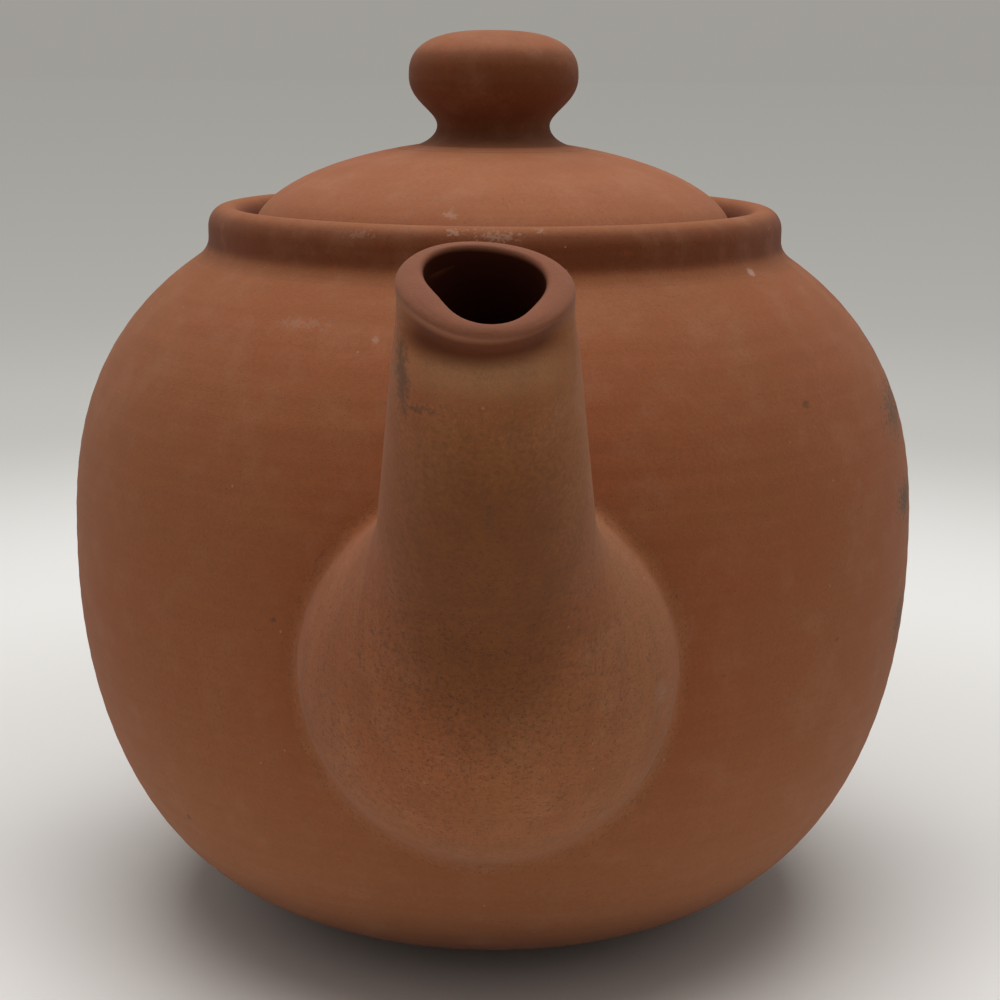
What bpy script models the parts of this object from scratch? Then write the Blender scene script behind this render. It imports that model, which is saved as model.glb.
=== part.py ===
"""Terracotta teapot with a loose lid that sits inside a raised collar.

Metres, +Z up. The pot stands on z = 0 with its axis through the origin. The spout points
along -Y and the handle along +Y. Each object is one piece of clay as the potter makes it.
Body, collar, foot ring, spout and handle are luted together and fired as the pot. Dome,
flange and knob are fired as the lid, which lifts straight up out of its seat.
"""

import math

import bmesh
import bpy
from mathutils import Vector

# Belly and shoulder, both quarters of a superellipse about the widest ring
BELLY_RADIUS = 0.0650
BELLY_HEIGHT = 0.0582
SHOULDER_RISE = 0.0560
SHOULDER_RADIAL_POWER = 2.19
SHOULDER_HEIGHT_POWER = 2.70
BELLY_DROP = 0.0574
BELLY_RADIAL_POWER = 3.73
BELLY_HEIGHT_POWER = 2.02
BODY_WALL = 0.0045

# Flat seat at the top of the shoulder, which carries the collar and the lid
SEAT_HEIGHT = 0.1037
SEAT_THICKNESS = 0.0043
NECK_HOLE_RADIUS = 0.0332

# Turned base and foot ring
UNDERSIDE_HEIGHT = 0.0033
FLOOR_THICKNESS = 0.0050
FOOT_RADIUS = 0.0280
FOOT_WIDTH = 0.0044
FOOT_EDGE = 0.0009

# Collar round the lid
COLLAR_RADIUS = 0.0438
COLLAR_WIDTH = 0.0054
COLLAR_HEIGHT = 0.0069
COLLAR_LIP_RISE = 0.0031
COLLAR_FILLET = 0.0007
COLLAR_INNER_EDGE = 0.0006

# Lid dome
LID_RADIUS = 0.0368
LID_EDGE = 0.0019
DOME_RISE = 0.01465
DOME_RADIAL_POWER = 1.757
DOME_HEIGHT_POWER = 2.08
LID_WALL = 0.0042
VENT_RADIUS = 0.0015
VENT_PLACE = 0.0215

# Flange under the lid, which keeps it centred in the neck
FLANGE_CLEARANCE = 0.0009
FLANGE_WIDTH = 0.0032
FLANGE_DEPTH = 0.0080
FLANGE_EDGE = 0.0010

# Knob, an oblate ball on a waisted neck
KNOB_RADIUS = 0.0129
KNOB_CROWN_RISE = 0.00685
KNOB_CROWN_POWER = 2.65
KNOB_WIDEST_HEIGHT = 0.0258
KNOB_WAIST_RADIUS = 0.0086
KNOB_WAIST_HEIGHT = 0.0185
KNOB_SWELL_PULL = 0.0038
KNOB_WAIST_PULL = 0.0021
KNOB_FOOT_RADIUS = 0.0132
KNOB_FOOT_EDGE = 0.0005

# Spout, a tapered tube that swells into a bulb where it meets the body
SPOUT_TIP_REACH = 0.1008
SPOUT_TIP_HEIGHT = 0.1097
SPOUT_TIP_RADIUS = 0.0091
SPOUT_TIP_RUN = 0.0136
SPOUT_TIP_CLIMB = 0.0287
SPOUT_START_REACH = 0.0450
SPOUT_START_HEIGHT = 0.0485
SPOUT_START_RUN = 0.0255
SPOUT_START_CLIMB = 0.0085
SPOUT_NECK_RADIUS = 0.0169
SPOUT_ROOT_RADIUS = 0.0247
SPOUT_ROOT_LENGTH = 0.0180
SPOUT_BULB_LENGTH = 0.0270
SPOUT_ROOT_WALL = 0.0045
SPOUT_TIP_WALL = 0.0030

# Rolled pouring lip at the spout's mouth
LIP_LENGTH = 0.0052
LIP_ROLL = 0.0002
LIP_PULL = 0.0005
LIP_GROOVE = 0.0003
LIP_DIP = 0.0005
LIP_BACK_PINCH = 0.0002
LIP_HEIGHT_SHARES = (0.72, 0.46, 0.16, 0.0, 0.14, 0.50)

# Strainer pierced through the body behind the spout
STRAINER_HOLE_RADIUS = 0.0019
STRAINER_RING_RADIUS = 0.0078
STRAINER_RING_HOLES = 6
STRAINER_LIFT = 0.0010

# Handle, an ear-shaped loop of oval section
HANDLE_REACH = 0.1090
HANDLE_MIDDLE_HEIGHT = 0.0680
HANDLE_TOP_PULL = 0.0235
HANDLE_BOTTOM_PULL = 0.0200
HANDLE_THICKNESS = 0.0105
HANDLE_WIDTH = 0.0140
HANDLE_TOP_HEIGHT = 0.0870
HANDLE_TOP_DEPTH = 0.0510
HANDLE_TOP_RUN = 0.0230
HANDLE_TOP_CLIMB = 0.0145
HANDLE_LOW_HEIGHT = 0.0335
HANDLE_LOW_DEPTH = 0.0560
HANDLE_LOW_RUN = 0.0240
HANDLE_LOW_FALL = 0.0035
HANDLE_ROOT_SPREAD_SHARES = (1.50, 1.00, 1.35)

# Gap between pieces that touch, overrun of every cutter, and merging distance
GAP = 0.0003
OVERRUN = 0.0040
MERGE_DISTANCE = 0.00001

# Facets
BODY_STEPS = 56
LID_STEPS = 48
KNOB_STEPS = 32
SHOULDER_ROWS = 10
BELLY_ROWS = 9
INNER_ROWS = 6
DOME_ROWS = 8
ROUND_ROWS = 5
KNOB_ROWS = 6
SPOUT_SIDES = 24
SPOUT_ROWS = 15
HANDLE_STEPS = 11
HANDLE_BEVEL = 4
HOLE_SIDES = 12
SMOOTH_ANGLE = math.radians(35.0)


# Helpers

def new_collection(name):
    """Add an empty collection to the scene."""
    collection = bpy.data.collections.new(name)
    bpy.context.scene.collection.children.link(collection)
    return collection


def new_clay(name, colour, roughness):
    """Principled material for one piece of unglazed clay."""
    material = bpy.data.materials.new(name)
    material.use_nodes = True
    shader = material.node_tree.nodes["Principled BSDF"]
    shader.inputs["Base Color"].default_value = (*colour, 1.0)
    shader.inputs["Roughness"].default_value = roughness
    shader.inputs["Metallic"].default_value = 0.0
    return material


def new_object(name, mesh, collection, parent=None):
    """Put a mesh in the scene as an object under its parent."""
    thing = bpy.data.objects.new(name, mesh)
    collection.objects.link(thing)
    thing.parent = parent
    return thing


def turned(name, profile, steps, collection, parent=None, closed=False):
    """Turn a profile of (radius, height) points round the Z axis with a Screw modifier."""
    mesh = bpy.data.meshes.new(name)
    corners = [(radius, 0.0, height) for radius, height in profile]
    edges = [(index, index + 1) for index in range(len(profile) - 1)]
    if closed:
        edges.append((len(profile) - 1, 0))
    mesh.from_pydata(corners, edges, [])
    thing = new_object(name, mesh, collection, parent)
    screw = thing.modifiers.new("turn", "SCREW")
    screw.axis = "Z"
    screw.angle = math.tau
    screw.steps = steps
    screw.render_steps = steps
    screw.use_merge_vertices = True
    screw.merge_threshold = MERGE_DISTANCE
    return thing


def cut(thing, cutter):
    """Subtract a cutter from an object with an exact Boolean."""
    boolean = thing.modifiers.new(cutter.name, "BOOLEAN")
    boolean.operation = "DIFFERENCE"
    boolean.solver = "EXACT"
    boolean.object = cutter


def as_cutter(thing):
    """Mark an object as a tool that is not part of the teapot."""
    thing.hide_render = True
    thing.display_type = "WIRE"
    return thing


def evaluated_mesh(thing):
    """Mesh of an object with its modifiers applied."""
    bpy.context.view_layer.update()
    depsgraph = bpy.context.evaluated_depsgraph_get()
    return bpy.data.meshes.new_from_object(thing.evaluated_get(depsgraph))


def finish(thing, material):
    """Settle the modifiers of a piece, shade it smooth and give it its clay."""
    mesh = evaluated_mesh(thing)
    thing.modifiers.clear()
    thing.data = mesh
    mesh.shade_smooth()
    mesh.set_sharp_from_angle(angle=SMOOTH_ANGLE)
    mesh.materials.clear()
    mesh.materials.append(material)


def cubic(points, share):
    """Point at a share of the way along a cubic Bezier curve."""
    rest = 1.0 - share
    weights = (rest ** 3, 3 * rest ** 2 * share, 3 * rest * share ** 2, share ** 3)
    return sum((Vector(point) * weight for point, weight in zip(points, weights)), Vector((0, 0)))


def evenly(count):
    """Shares from 0 to 1 in equal steps."""
    return [step / count for step in range(count + 1)]


# Profiles shared by the pieces

def superellipse_arc(radius, rise, radial_power, height_power, top, rows):
    """Points from the widest ring up to a height, as (radius, height above the ring)."""
    last = math.asin(min(1.0, (top / rise) ** (height_power / 2)))
    points = []
    for share in evenly(rows):
        angle = last * share
        reach = radius * math.cos(angle) ** (2 / radial_power)
        points.append((reach, rise * math.sin(angle) ** (2 / height_power)))
    return points


def body_flank(inset, top, bottom, upper_rows, lower_rows):
    """Side of the body from a top height down to a bottom height, set in by an inset."""
    radius = BELLY_RADIUS - inset
    upper = superellipse_arc(radius, SHOULDER_RISE - inset, SHOULDER_RADIAL_POWER,
                             SHOULDER_HEIGHT_POWER, top - BELLY_HEIGHT, upper_rows)
    lower = superellipse_arc(radius, BELLY_DROP - inset, BELLY_RADIAL_POWER,
                             BELLY_HEIGHT_POWER, BELLY_HEIGHT - bottom, lower_rows)
    side = [(reach, BELLY_HEIGHT + height) for reach, height in reversed(upper)]
    side += [(reach, BELLY_HEIGHT - height) for reach, height in lower[1:]]
    return side


def dome_height(radius, edge_radius, rise):
    """Height of a lid dome above its edge."""
    level = 1.0 - (radius / edge_radius) ** DOME_RADIAL_POWER
    return rise * max(level, 0.0) ** (1 / DOME_HEIGHT_POWER)


def dome_curve(edge_radius, rise, inner_radius, rows):
    """Dome points from an inner radius out to the edge, closer together towards the edge."""
    first = math.asin(inner_radius / edge_radius)
    points = []
    for share in evenly(rows):
        radius = edge_radius * math.sin(first + (math.pi / 2 - first) * share)
        points.append((radius, dome_height(radius, edge_radius, rise)))
    return points


def arc(centre_radius, centre_height, half_width, half_height, start, end, rows):
    """Elliptical arc in the profile plane, between two angles in degrees."""
    points = []
    for share in evenly(rows):
        angle = math.radians(start + (end - start) * share)
        points.append((centre_radius + half_width * math.cos(angle),
                       centre_height + half_height * math.sin(angle)))
    return points


# Pot

def make_body(collection, cutters, parent, material):
    """Hollow belly with its flat seat, neck hole and pierced strainer."""
    floor = UNDERSIDE_HEIGHT + FLOOR_THICKNESS
    ceiling = SEAT_HEIGHT - SEAT_THICKNESS
    inside = body_flank(BODY_WALL, ceiling, floor, INNER_ROWS, INNER_ROWS)
    outside = body_flank(0.0, SEAT_HEIGHT, UNDERSIDE_HEIGHT, SHOULDER_ROWS, BELLY_ROWS)
    profile = [(0.0, floor)]
    profile += reversed(inside)
    profile += [(NECK_HOLE_RADIUS, ceiling), (NECK_HOLE_RADIUS, SEAT_HEIGHT)]
    profile += outside
    profile.append((0.0, UNDERSIDE_HEIGHT))
    body = turned("pot_body", profile, BODY_STEPS, collection, parent)
    cut(body, make_strainer_drills(cutters))
    finish(body, material)
    return body


def make_strainer_drills(cutters):
    """Straight drills for one middle hole and a ring of holes behind the spout."""
    start = spout_point(SPOUT_ROOT_LENGTH)
    length = 2 * (BODY_WALL + OVERRUN)
    places = [(0.0, 0.0)]
    for index in range(STRAINER_RING_HOLES):
        angle = math.tau * index / STRAINER_RING_HOLES
        places.append((STRAINER_RING_RADIUS * math.cos(angle),
                       STRAINER_RING_RADIUS * math.sin(angle)))
    work = bmesh.new()
    for across, up in places:
        made = bmesh.ops.create_cone(work, cap_ends=True, segments=HOLE_SIDES,
                                     radius1=STRAINER_HOLE_RADIUS,
                                     radius2=STRAINER_HOLE_RADIUS, depth=length)
        for corner in made["verts"]:
            x, y, z = corner.co
            corner.co = (x + across, -BELLY_RADIUS + z, start.y + STRAINER_LIFT + up - y)
    bmesh.ops.recalc_face_normals(work, faces=work.faces)
    mesh = bpy.data.meshes.new("strainer_drills")
    work.to_mesh(mesh)
    work.free()
    return as_cutter(new_object("strainer_drills", mesh, cutters))


def make_body_envelope(cutters):
    """Solid belly grown by the gap, which cuts the saddles of the spout and the handle."""
    side = body_flank(-GAP, SEAT_HEIGHT, UNDERSIDE_HEIGHT, SHOULDER_ROWS, BELLY_ROWS)
    profile = [(0.0, side[0][1])]
    profile += side
    profile.append((0.0, side[-1][1]))
    return as_cutter(turned("body_envelope", profile, BODY_STEPS, cutters))


def make_collar(collection, parent, material):
    """Round-lipped ring that stands on the seat and stops the lid from sliding off."""
    bottom = SEAT_HEIGHT + GAP
    top = SEAT_HEIGHT + COLLAR_HEIGHT
    lip_height = top - COLLAR_LIP_RISE
    half = COLLAR_WIDTH / 2
    inner = COLLAR_RADIUS - COLLAR_WIDTH
    profile = arc(COLLAR_RADIUS - half, lip_height, half, COLLAR_LIP_RISE, 180, 0, 2 * ROUND_ROWS)
    profile += [(COLLAR_RADIUS, bottom + COLLAR_FILLET), (COLLAR_RADIUS + COLLAR_FILLET, bottom)]
    profile += [(inner + COLLAR_INNER_EDGE, bottom), (inner, bottom + COLLAR_INNER_EDGE)]
    collar = turned("neck_collar", profile, BODY_STEPS, collection, parent, closed=True)
    finish(collar, material)
    return collar


def make_foot(collection, parent, material):
    """Low ring under the belly with rounded lower edges and a flat standing face."""
    top = UNDERSIDE_HEIGHT - GAP
    inner = FOOT_RADIUS - FOOT_WIDTH
    profile = [(inner, top), (FOOT_RADIUS, top)]
    profile += arc(FOOT_RADIUS - FOOT_EDGE, FOOT_EDGE, FOOT_EDGE, FOOT_EDGE, 0, -90, 2)
    profile += arc(inner + FOOT_EDGE, FOOT_EDGE, FOOT_EDGE, FOOT_EDGE, -90, -180, 2)
    foot = turned("foot_ring", profile, LID_STEPS, collection, parent, closed=True)
    finish(foot, material)
    return foot


# Spout

SPOUT_CURVE = (
    (-SPOUT_START_REACH, SPOUT_START_HEIGHT),
    (-SPOUT_START_REACH - SPOUT_START_RUN, SPOUT_START_HEIGHT + SPOUT_START_CLIMB),
    (-SPOUT_TIP_REACH + SPOUT_TIP_RUN, SPOUT_TIP_HEIGHT - SPOUT_TIP_CLIMB),
    (-SPOUT_TIP_REACH, SPOUT_TIP_HEIGHT),
)
CURVE_SAMPLES = 200


def spout_distances():
    """Distance along the spout's middle line at evenly spaced shares of its curve."""
    distances = [0.0]
    points = [cubic(SPOUT_CURVE, share) for share in evenly(CURVE_SAMPLES)]
    for before, after in zip(points, points[1:]):
        distances.append(distances[-1] + (after - before).length)
    return distances


SPOUT_DISTANCES = spout_distances()


def spout_share(distance):
    """Share of the spout's curve at a distance along its middle line."""
    for index in range(CURVE_SAMPLES):
        before, after = SPOUT_DISTANCES[index], SPOUT_DISTANCES[index + 1]
        if distance <= after:
            return (index + (distance - before) / (after - before)) / CURVE_SAMPLES
    return 1.0


def spout_point(distance):
    """Middle of the spout as a (y, z) vector at a distance along it."""
    return cubic(SPOUT_CURVE, spout_share(distance))


def spout_direction(distance):
    """Direction of the spout at a distance along it, as a (y, z) unit vector."""
    share = spout_share(distance)
    rest = 1.0 - share
    corners = [Vector(corner) for corner in SPOUT_CURVE]
    slope = (corners[1] - corners[0]) * rest ** 2
    slope += (corners[2] - corners[1]) * 2 * rest * share
    slope += (corners[3] - corners[2]) * share ** 2
    return slope.normalized()


def spout_radius(distance, length):
    """Outer radius: a straight taper plus a bell-shaped swelling at the root."""
    along = max(distance, SPOUT_ROOT_LENGTH)
    taper_share = (length - along) / (length - SPOUT_ROOT_LENGTH)
    taper = SPOUT_TIP_RADIUS + (SPOUT_NECK_RADIUS - SPOUT_TIP_RADIUS) * taper_share
    bulb_share = min((along - SPOUT_ROOT_LENGTH) / SPOUT_BULB_LENGTH, 1.0)
    swelling = (SPOUT_ROOT_RADIUS - SPOUT_NECK_RADIUS) * (1 + math.cos(math.pi * bulb_share)) / 2
    return taper + swelling


def spout_ring(work, distance, radius, pull=0.0, dip=0.0, pinch=0.0):
    """Ring of corners square to the spout, its front pulled out and down, its back pinched."""
    middle = spout_point(distance)
    along = spout_direction(distance)
    front = Vector((-along.y, along.x))
    corners = []
    for side in range(SPOUT_SIDES):
        angle = math.tau * side / SPOUT_SIDES
        front_weight = ((1 + math.cos(angle)) / 2) ** 2
        back_weight = ((1 - math.cos(angle)) / 2) ** 2
        reach = radius + pull * front_weight - pinch * back_weight
        place = middle + front * reach * math.cos(angle) - along * dip * front_weight
        corners.append(work.verts.new((radius * math.sin(angle), place.x, place.y)))
    return corners


def lip_rings(work, length):
    """Rings over the rolled lip, from the groove under it to the bore inside it."""
    tip = SPOUT_TIP_RADIUS
    bore = tip - SPOUT_TIP_WALL
    shapes = (
        (tip - LIP_GROOVE, 0.0, 0.0),
        (tip + LIP_ROLL, LIP_PULL, 0.0),
        (tip, LIP_PULL, 0.0),
        (tip - SPOUT_TIP_WALL / 2, LIP_PULL, LIP_BACK_PINCH / 2),
        (bore, LIP_PULL, LIP_BACK_PINCH),
        (bore, LIP_PULL / 2, LIP_BACK_PINCH),
    )
    rings = []
    for share, (radius, pull, pinch) in zip(LIP_HEIGHT_SHARES, shapes):
        dip = LIP_DIP * pull / LIP_PULL
        rings.append(spout_ring(work, length - LIP_LENGTH * share, radius, pull, dip, pinch))
    return rings


def make_spout(collection, parent, material, envelope):
    """Loft of round rings from the root to the pinched lip and back down the channel."""
    length = SPOUT_DISTANCES[-1]
    neck_end = length - LIP_LENGTH
    outer = [(neck_end * share, spout_radius(neck_end * share, length))
             for share in evenly(SPOUT_ROWS)]
    work = bmesh.new()
    rings = [spout_ring(work, distance, radius) for distance, radius in outer]
    rings += lip_rings(work, length)
    for distance, radius in reversed(outer[::2]):
        wall = SPOUT_ROOT_WALL + (SPOUT_TIP_WALL - SPOUT_ROOT_WALL) * distance / length
        rings.append(spout_ring(work, distance, radius - wall))
    for ring, following in zip(rings, rings[1:] + rings[:1]):
        for side in range(SPOUT_SIDES):
            beside = (side + 1) % SPOUT_SIDES
            work.faces.new((ring[side], ring[beside], following[beside], following[side]))
    bmesh.ops.recalc_face_normals(work, faces=work.faces)
    mesh = bpy.data.meshes.new("spout")
    work.to_mesh(mesh)
    work.free()
    spout = new_object("spout", mesh, collection, parent)
    cut(spout, envelope)
    finish(spout, material)
    return spout


# Handle

def make_handle(collection, parent, material, envelope):
    """Bezier loop swept with an oval section, spread where it is pressed onto the body."""
    data = bpy.data.curves.new("handle_path", "CURVE")
    data.dimensions = "3D"
    data.bevel_depth = HANDLE_THICKNESS / 2
    data.bevel_resolution = HANDLE_BEVEL
    data.resolution_u = HANDLE_STEPS
    data.use_fill_caps = True
    spline = data.splines.new("BEZIER")
    spline.bezier_points.add(2)
    middle = HANDLE_REACH - HANDLE_THICKNESS / 2
    places = ((HANDLE_TOP_DEPTH, HANDLE_TOP_HEIGHT), (middle, HANDLE_MIDDLE_HEIGHT),
              (HANDLE_LOW_DEPTH, HANDLE_LOW_HEIGHT))
    before = ((-HANDLE_TOP_RUN, -HANDLE_TOP_CLIMB), (0.0, HANDLE_TOP_PULL),
              (HANDLE_LOW_RUN, -HANDLE_LOW_FALL))
    after = ((HANDLE_TOP_RUN, HANDLE_TOP_CLIMB), (0.0, -HANDLE_BOTTOM_PULL),
             (-HANDLE_LOW_RUN, HANDLE_LOW_FALL))
    for index, knot in enumerate(spline.bezier_points):
        y, z = places[index]
        knot.handle_left_type = "FREE"
        knot.handle_right_type = "FREE"
        knot.co = (0.0, y, z)
        knot.handle_left = (0.0, y + before[index][0], z + before[index][1])
        knot.handle_right = (0.0, y + after[index][0], z + after[index][1])
        knot.radius = HANDLE_ROOT_SPREAD_SHARES[index]
    path = bpy.data.objects.new("handle_path", data)
    collection.objects.link(path)
    mesh = evaluated_mesh(path)
    bpy.data.objects.remove(path)
    work = bmesh.new()
    work.from_mesh(mesh)
    bmesh.ops.remove_doubles(work, verts=work.verts, dist=MERGE_DISTANCE)
    for corner in work.verts:
        corner.co.x *= HANDLE_WIDTH / HANDLE_THICKNESS
    work.to_mesh(mesh)
    work.free()
    handle = new_object("handle", mesh, collection, parent)
    cut(handle, envelope)
    finish(handle, material)
    return handle


# Lid, whose heights are measured from its own underside

def make_lid_dome(collection, cutters, parent, material):
    """Domed lid with a rounded edge, a hollow underside and a vent hole behind the knob."""
    inner = flange_outer_radius() - FLANGE_WIDTH
    profile = [(0.0, LID_EDGE + DOME_RISE)]
    profile += [(radius, LID_EDGE + height)
                for radius, height in dome_curve(LID_RADIUS, DOME_RISE, 0.0, DOME_ROWS)[1:]]
    profile += arc(LID_RADIUS - LID_EDGE, LID_EDGE, LID_EDGE, LID_EDGE, 0, -90, 3)[1:]
    hollow = LID_EDGE + DOME_RISE - LID_WALL
    profile += reversed(dome_curve(inner, hollow, 0.0, DOME_ROWS - 2))
    dome = turned("lid_dome", profile, LID_STEPS, collection, parent)
    length = 2 * (LID_EDGE + DOME_RISE + OVERRUN)
    work = bmesh.new()
    bmesh.ops.create_cone(work, cap_ends=True, segments=HOLE_SIDES, radius1=VENT_RADIUS,
                          radius2=VENT_RADIUS, depth=length)
    mesh = bpy.data.meshes.new("vent_drill")
    work.to_mesh(mesh)
    work.free()
    drill = as_cutter(new_object("vent_drill", mesh, cutters, parent))
    drill.location = (0.0, VENT_PLACE, 0.0)
    cut(dome, drill)
    finish(dome, material)
    return dome


def flange_outer_radius():
    """Outer radius of the flange, a running clearance inside the neck hole."""
    return NECK_HOLE_RADIUS - FLANGE_CLEARANCE


def make_lid_flange(collection, parent, material):
    """Ring that hangs from the lid into the neck hole."""
    outer = flange_outer_radius()
    inner = outer - FLANGE_WIDTH
    bottom = -GAP - FLANGE_DEPTH
    profile = [(outer, -GAP)]
    profile += arc(outer - FLANGE_EDGE, bottom + FLANGE_EDGE, FLANGE_EDGE, FLANGE_EDGE, 0, -90, 2)
    profile += arc(inner + FLANGE_EDGE, bottom + FLANGE_EDGE, FLANGE_EDGE, FLANGE_EDGE, -90, -180, 2)
    profile.append((inner, -GAP))
    flange = turned("lid_flange", profile, LID_STEPS, collection, parent, closed=True)
    finish(flange, material)
    return flange


def make_lid_knob(collection, parent, material):
    """Oblate ball on a waisted neck whose foot follows the dome."""
    widest = KNOB_WIDEST_HEIGHT
    profile = []
    for share in evenly(KNOB_ROWS):
        angle = math.pi / 2 * (1 - share)
        profile.append((KNOB_RADIUS * math.cos(angle) ** (2 / KNOB_CROWN_POWER),
                        widest + KNOB_CROWN_RISE * math.sin(angle) ** (2 / KNOB_CROWN_POWER)))
    profile[0] = (0.0, widest + KNOB_CROWN_RISE)
    swell = ((KNOB_RADIUS, widest), (KNOB_RADIUS, widest - KNOB_SWELL_PULL),
             (KNOB_WAIST_RADIUS, KNOB_WAIST_HEIGHT + KNOB_WAIST_PULL),
             (KNOB_WAIST_RADIUS, KNOB_WAIST_HEIGHT))
    profile += [tuple(cubic(swell, share)) for share in evenly(KNOB_ROWS)[1:]]
    seat = LID_EDGE + GAP
    foot_height = seat + dome_height(KNOB_FOOT_RADIUS, LID_RADIUS, DOME_RISE) + KNOB_FOOT_EDGE
    profile += arc(KNOB_FOOT_RADIUS, KNOB_WAIST_HEIGHT, KNOB_FOOT_RADIUS - KNOB_WAIST_RADIUS,
                   KNOB_WAIST_HEIGHT - foot_height, 180, 270, ROUND_ROWS)[1:]
    under = dome_curve(LID_RADIUS, DOME_RISE, 0.0, 3 * DOME_ROWS)
    under = [(radius, seat + height) for radius, height in under if radius < KNOB_FOOT_RADIUS]
    profile.append((KNOB_FOOT_RADIUS, foot_height - KNOB_FOOT_EDGE))
    profile += reversed(under)
    knob = turned("lid_knob", profile, KNOB_STEPS, collection, parent)
    finish(knob, material)
    return knob


# Assembly

def new_empty(name, collection, height):
    """Empty on the pot's axis that carries the pieces which move together."""
    empty = bpy.data.objects.new(name, None)
    empty.location = (0.0, 0.0, height)
    collection.objects.link(empty)
    return empty


def main():
    """Build the teapot from nothing."""
    for thing in list(bpy.data.objects):
        bpy.data.objects.remove(thing)
    teapot = new_collection("terracotta_teapot")
    cutters = new_collection("cutters")
    pot = new_empty("pot", teapot, 0.0)
    lid = new_empty("lid", teapot, SEAT_HEIGHT + GAP)
    bpy.context.view_layer.update()
    envelope = make_body_envelope(cutters)
    make_body(teapot, cutters, pot, new_clay("body_clay", (0.40, 0.155, 0.076), 0.85))
    make_collar(teapot, pot, new_clay("collar_clay", (0.38, 0.145, 0.070), 0.85))
    make_foot(teapot, pot, new_clay("foot_clay", (0.42, 0.170, 0.085), 0.90))
    make_spout(teapot, pot, new_clay("spout_clay", (0.37, 0.145, 0.072), 0.85), envelope)
    make_handle(teapot, pot, new_clay("handle_clay", (0.39, 0.150, 0.074), 0.80), envelope)
    make_lid_dome(teapot, cutters, lid, new_clay("dome_clay", (0.41, 0.160, 0.078), 0.82))
    make_lid_flange(teapot, lid, new_clay("flange_clay", (0.42, 0.170, 0.085), 0.88))
    make_lid_knob(teapot, lid, new_clay("knob_clay", (0.40, 0.150, 0.072), 0.78))


main()
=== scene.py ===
"""Finish of a terracotta teapot: fired clay skins for each piece, floor, lamp and camera.

Metres, +Z up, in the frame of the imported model. The pot's axis is the Z axis, the spout
points along -Y and the handle along +Y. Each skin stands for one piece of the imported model
and lies where that piece lies. The clay's grain, bands and marks are set out in millimetres.
"""

import bisect
import math

import bmesh
import bpy
from bpy.props import FloatProperty, FloatVectorProperty, PointerProperty
from bpy.types import Operator, Panel, PropertyGroup
from mathutils import Matrix, Vector, noise


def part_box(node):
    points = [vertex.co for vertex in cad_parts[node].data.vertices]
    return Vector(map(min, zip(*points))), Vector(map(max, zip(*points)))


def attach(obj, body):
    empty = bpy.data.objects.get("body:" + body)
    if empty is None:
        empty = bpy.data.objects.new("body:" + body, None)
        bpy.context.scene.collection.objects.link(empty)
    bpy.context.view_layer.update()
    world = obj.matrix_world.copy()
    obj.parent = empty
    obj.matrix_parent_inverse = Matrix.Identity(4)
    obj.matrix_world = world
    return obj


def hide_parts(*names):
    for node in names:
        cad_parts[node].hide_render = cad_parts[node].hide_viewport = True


bl_info = {
    "name": "Terracotta teapot",
    "version": (1, 0, 0),
    "blender": (4, 5, 0),
    "location": "3D View > Sidebar > Teapot",
    "description": "Fired clay skins, floor, lamp and camera for a terracotta teapot",
    "category": "Add Mesh",
}

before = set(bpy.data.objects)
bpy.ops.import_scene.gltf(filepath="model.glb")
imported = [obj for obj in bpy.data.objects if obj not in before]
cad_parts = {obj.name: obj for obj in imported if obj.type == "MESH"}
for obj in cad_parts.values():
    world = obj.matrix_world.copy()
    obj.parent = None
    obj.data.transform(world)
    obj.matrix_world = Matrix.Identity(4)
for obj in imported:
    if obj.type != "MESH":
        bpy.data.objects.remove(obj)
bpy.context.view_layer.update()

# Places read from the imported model
BELLY_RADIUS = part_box("pot_body")[1].x
SEAT_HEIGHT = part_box("pot_body")[1].z
UNDERSIDE_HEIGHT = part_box("pot_body")[0].z
COLLAR_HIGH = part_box("neck_collar")[1]
FOOT_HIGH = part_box("foot_ring")[1]
HANDLE_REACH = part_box("handle")[1].y
LID_LOW, LID_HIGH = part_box("lid_dome")
FLANGE_LOW, FLANGE_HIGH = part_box("lid_flange")
KNOB_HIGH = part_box("lid_knob")[1]

# Shape of the belly: two quarters of a superellipse that meet at the widest ring
WIDEST_HEIGHT = 0.0582
SHOULDER_RISE = 0.0560
SHOULDER_POWERS = (2.19, 2.70)
BELLY_DROP = 0.0574
BELLY_POWERS = (3.73, 2.02)
NECK_HOLE_RADIUS = 0.0332
NECK_HOLE_EDGE = 0.0007
SEAT_THICKNESS = 0.0043
FLOOR_THICKNESS = 0.0050

# Turning lines: a wave whose pitch drifts and a finer one, and where they reach full depth
MAIN_WAVE = 0.7
FINE_WAVE = 0.3
FINE_WAVE_RATE = 2.17
FINE_WAVE_START = 0.9
PITCH_DRIFT = 1.3
PITCH_DRIFT_LENGTH = 7.3
OUTER_LINES_BELOW_SEAT = 0.008
FINGER_LINES_BELOW_SEAT = 0.014
LINES_ABOVE_FLOOR = 0.020
STRAYS_PER_METRE = 28.0

# Shape of the collar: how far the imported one's foot flares, and its smoothed clay's curve
COLLAR_FLARE = 0.0007
COLLAR_FILLET_RISE = 1.6
CORNER_PULL = 0.6

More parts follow.
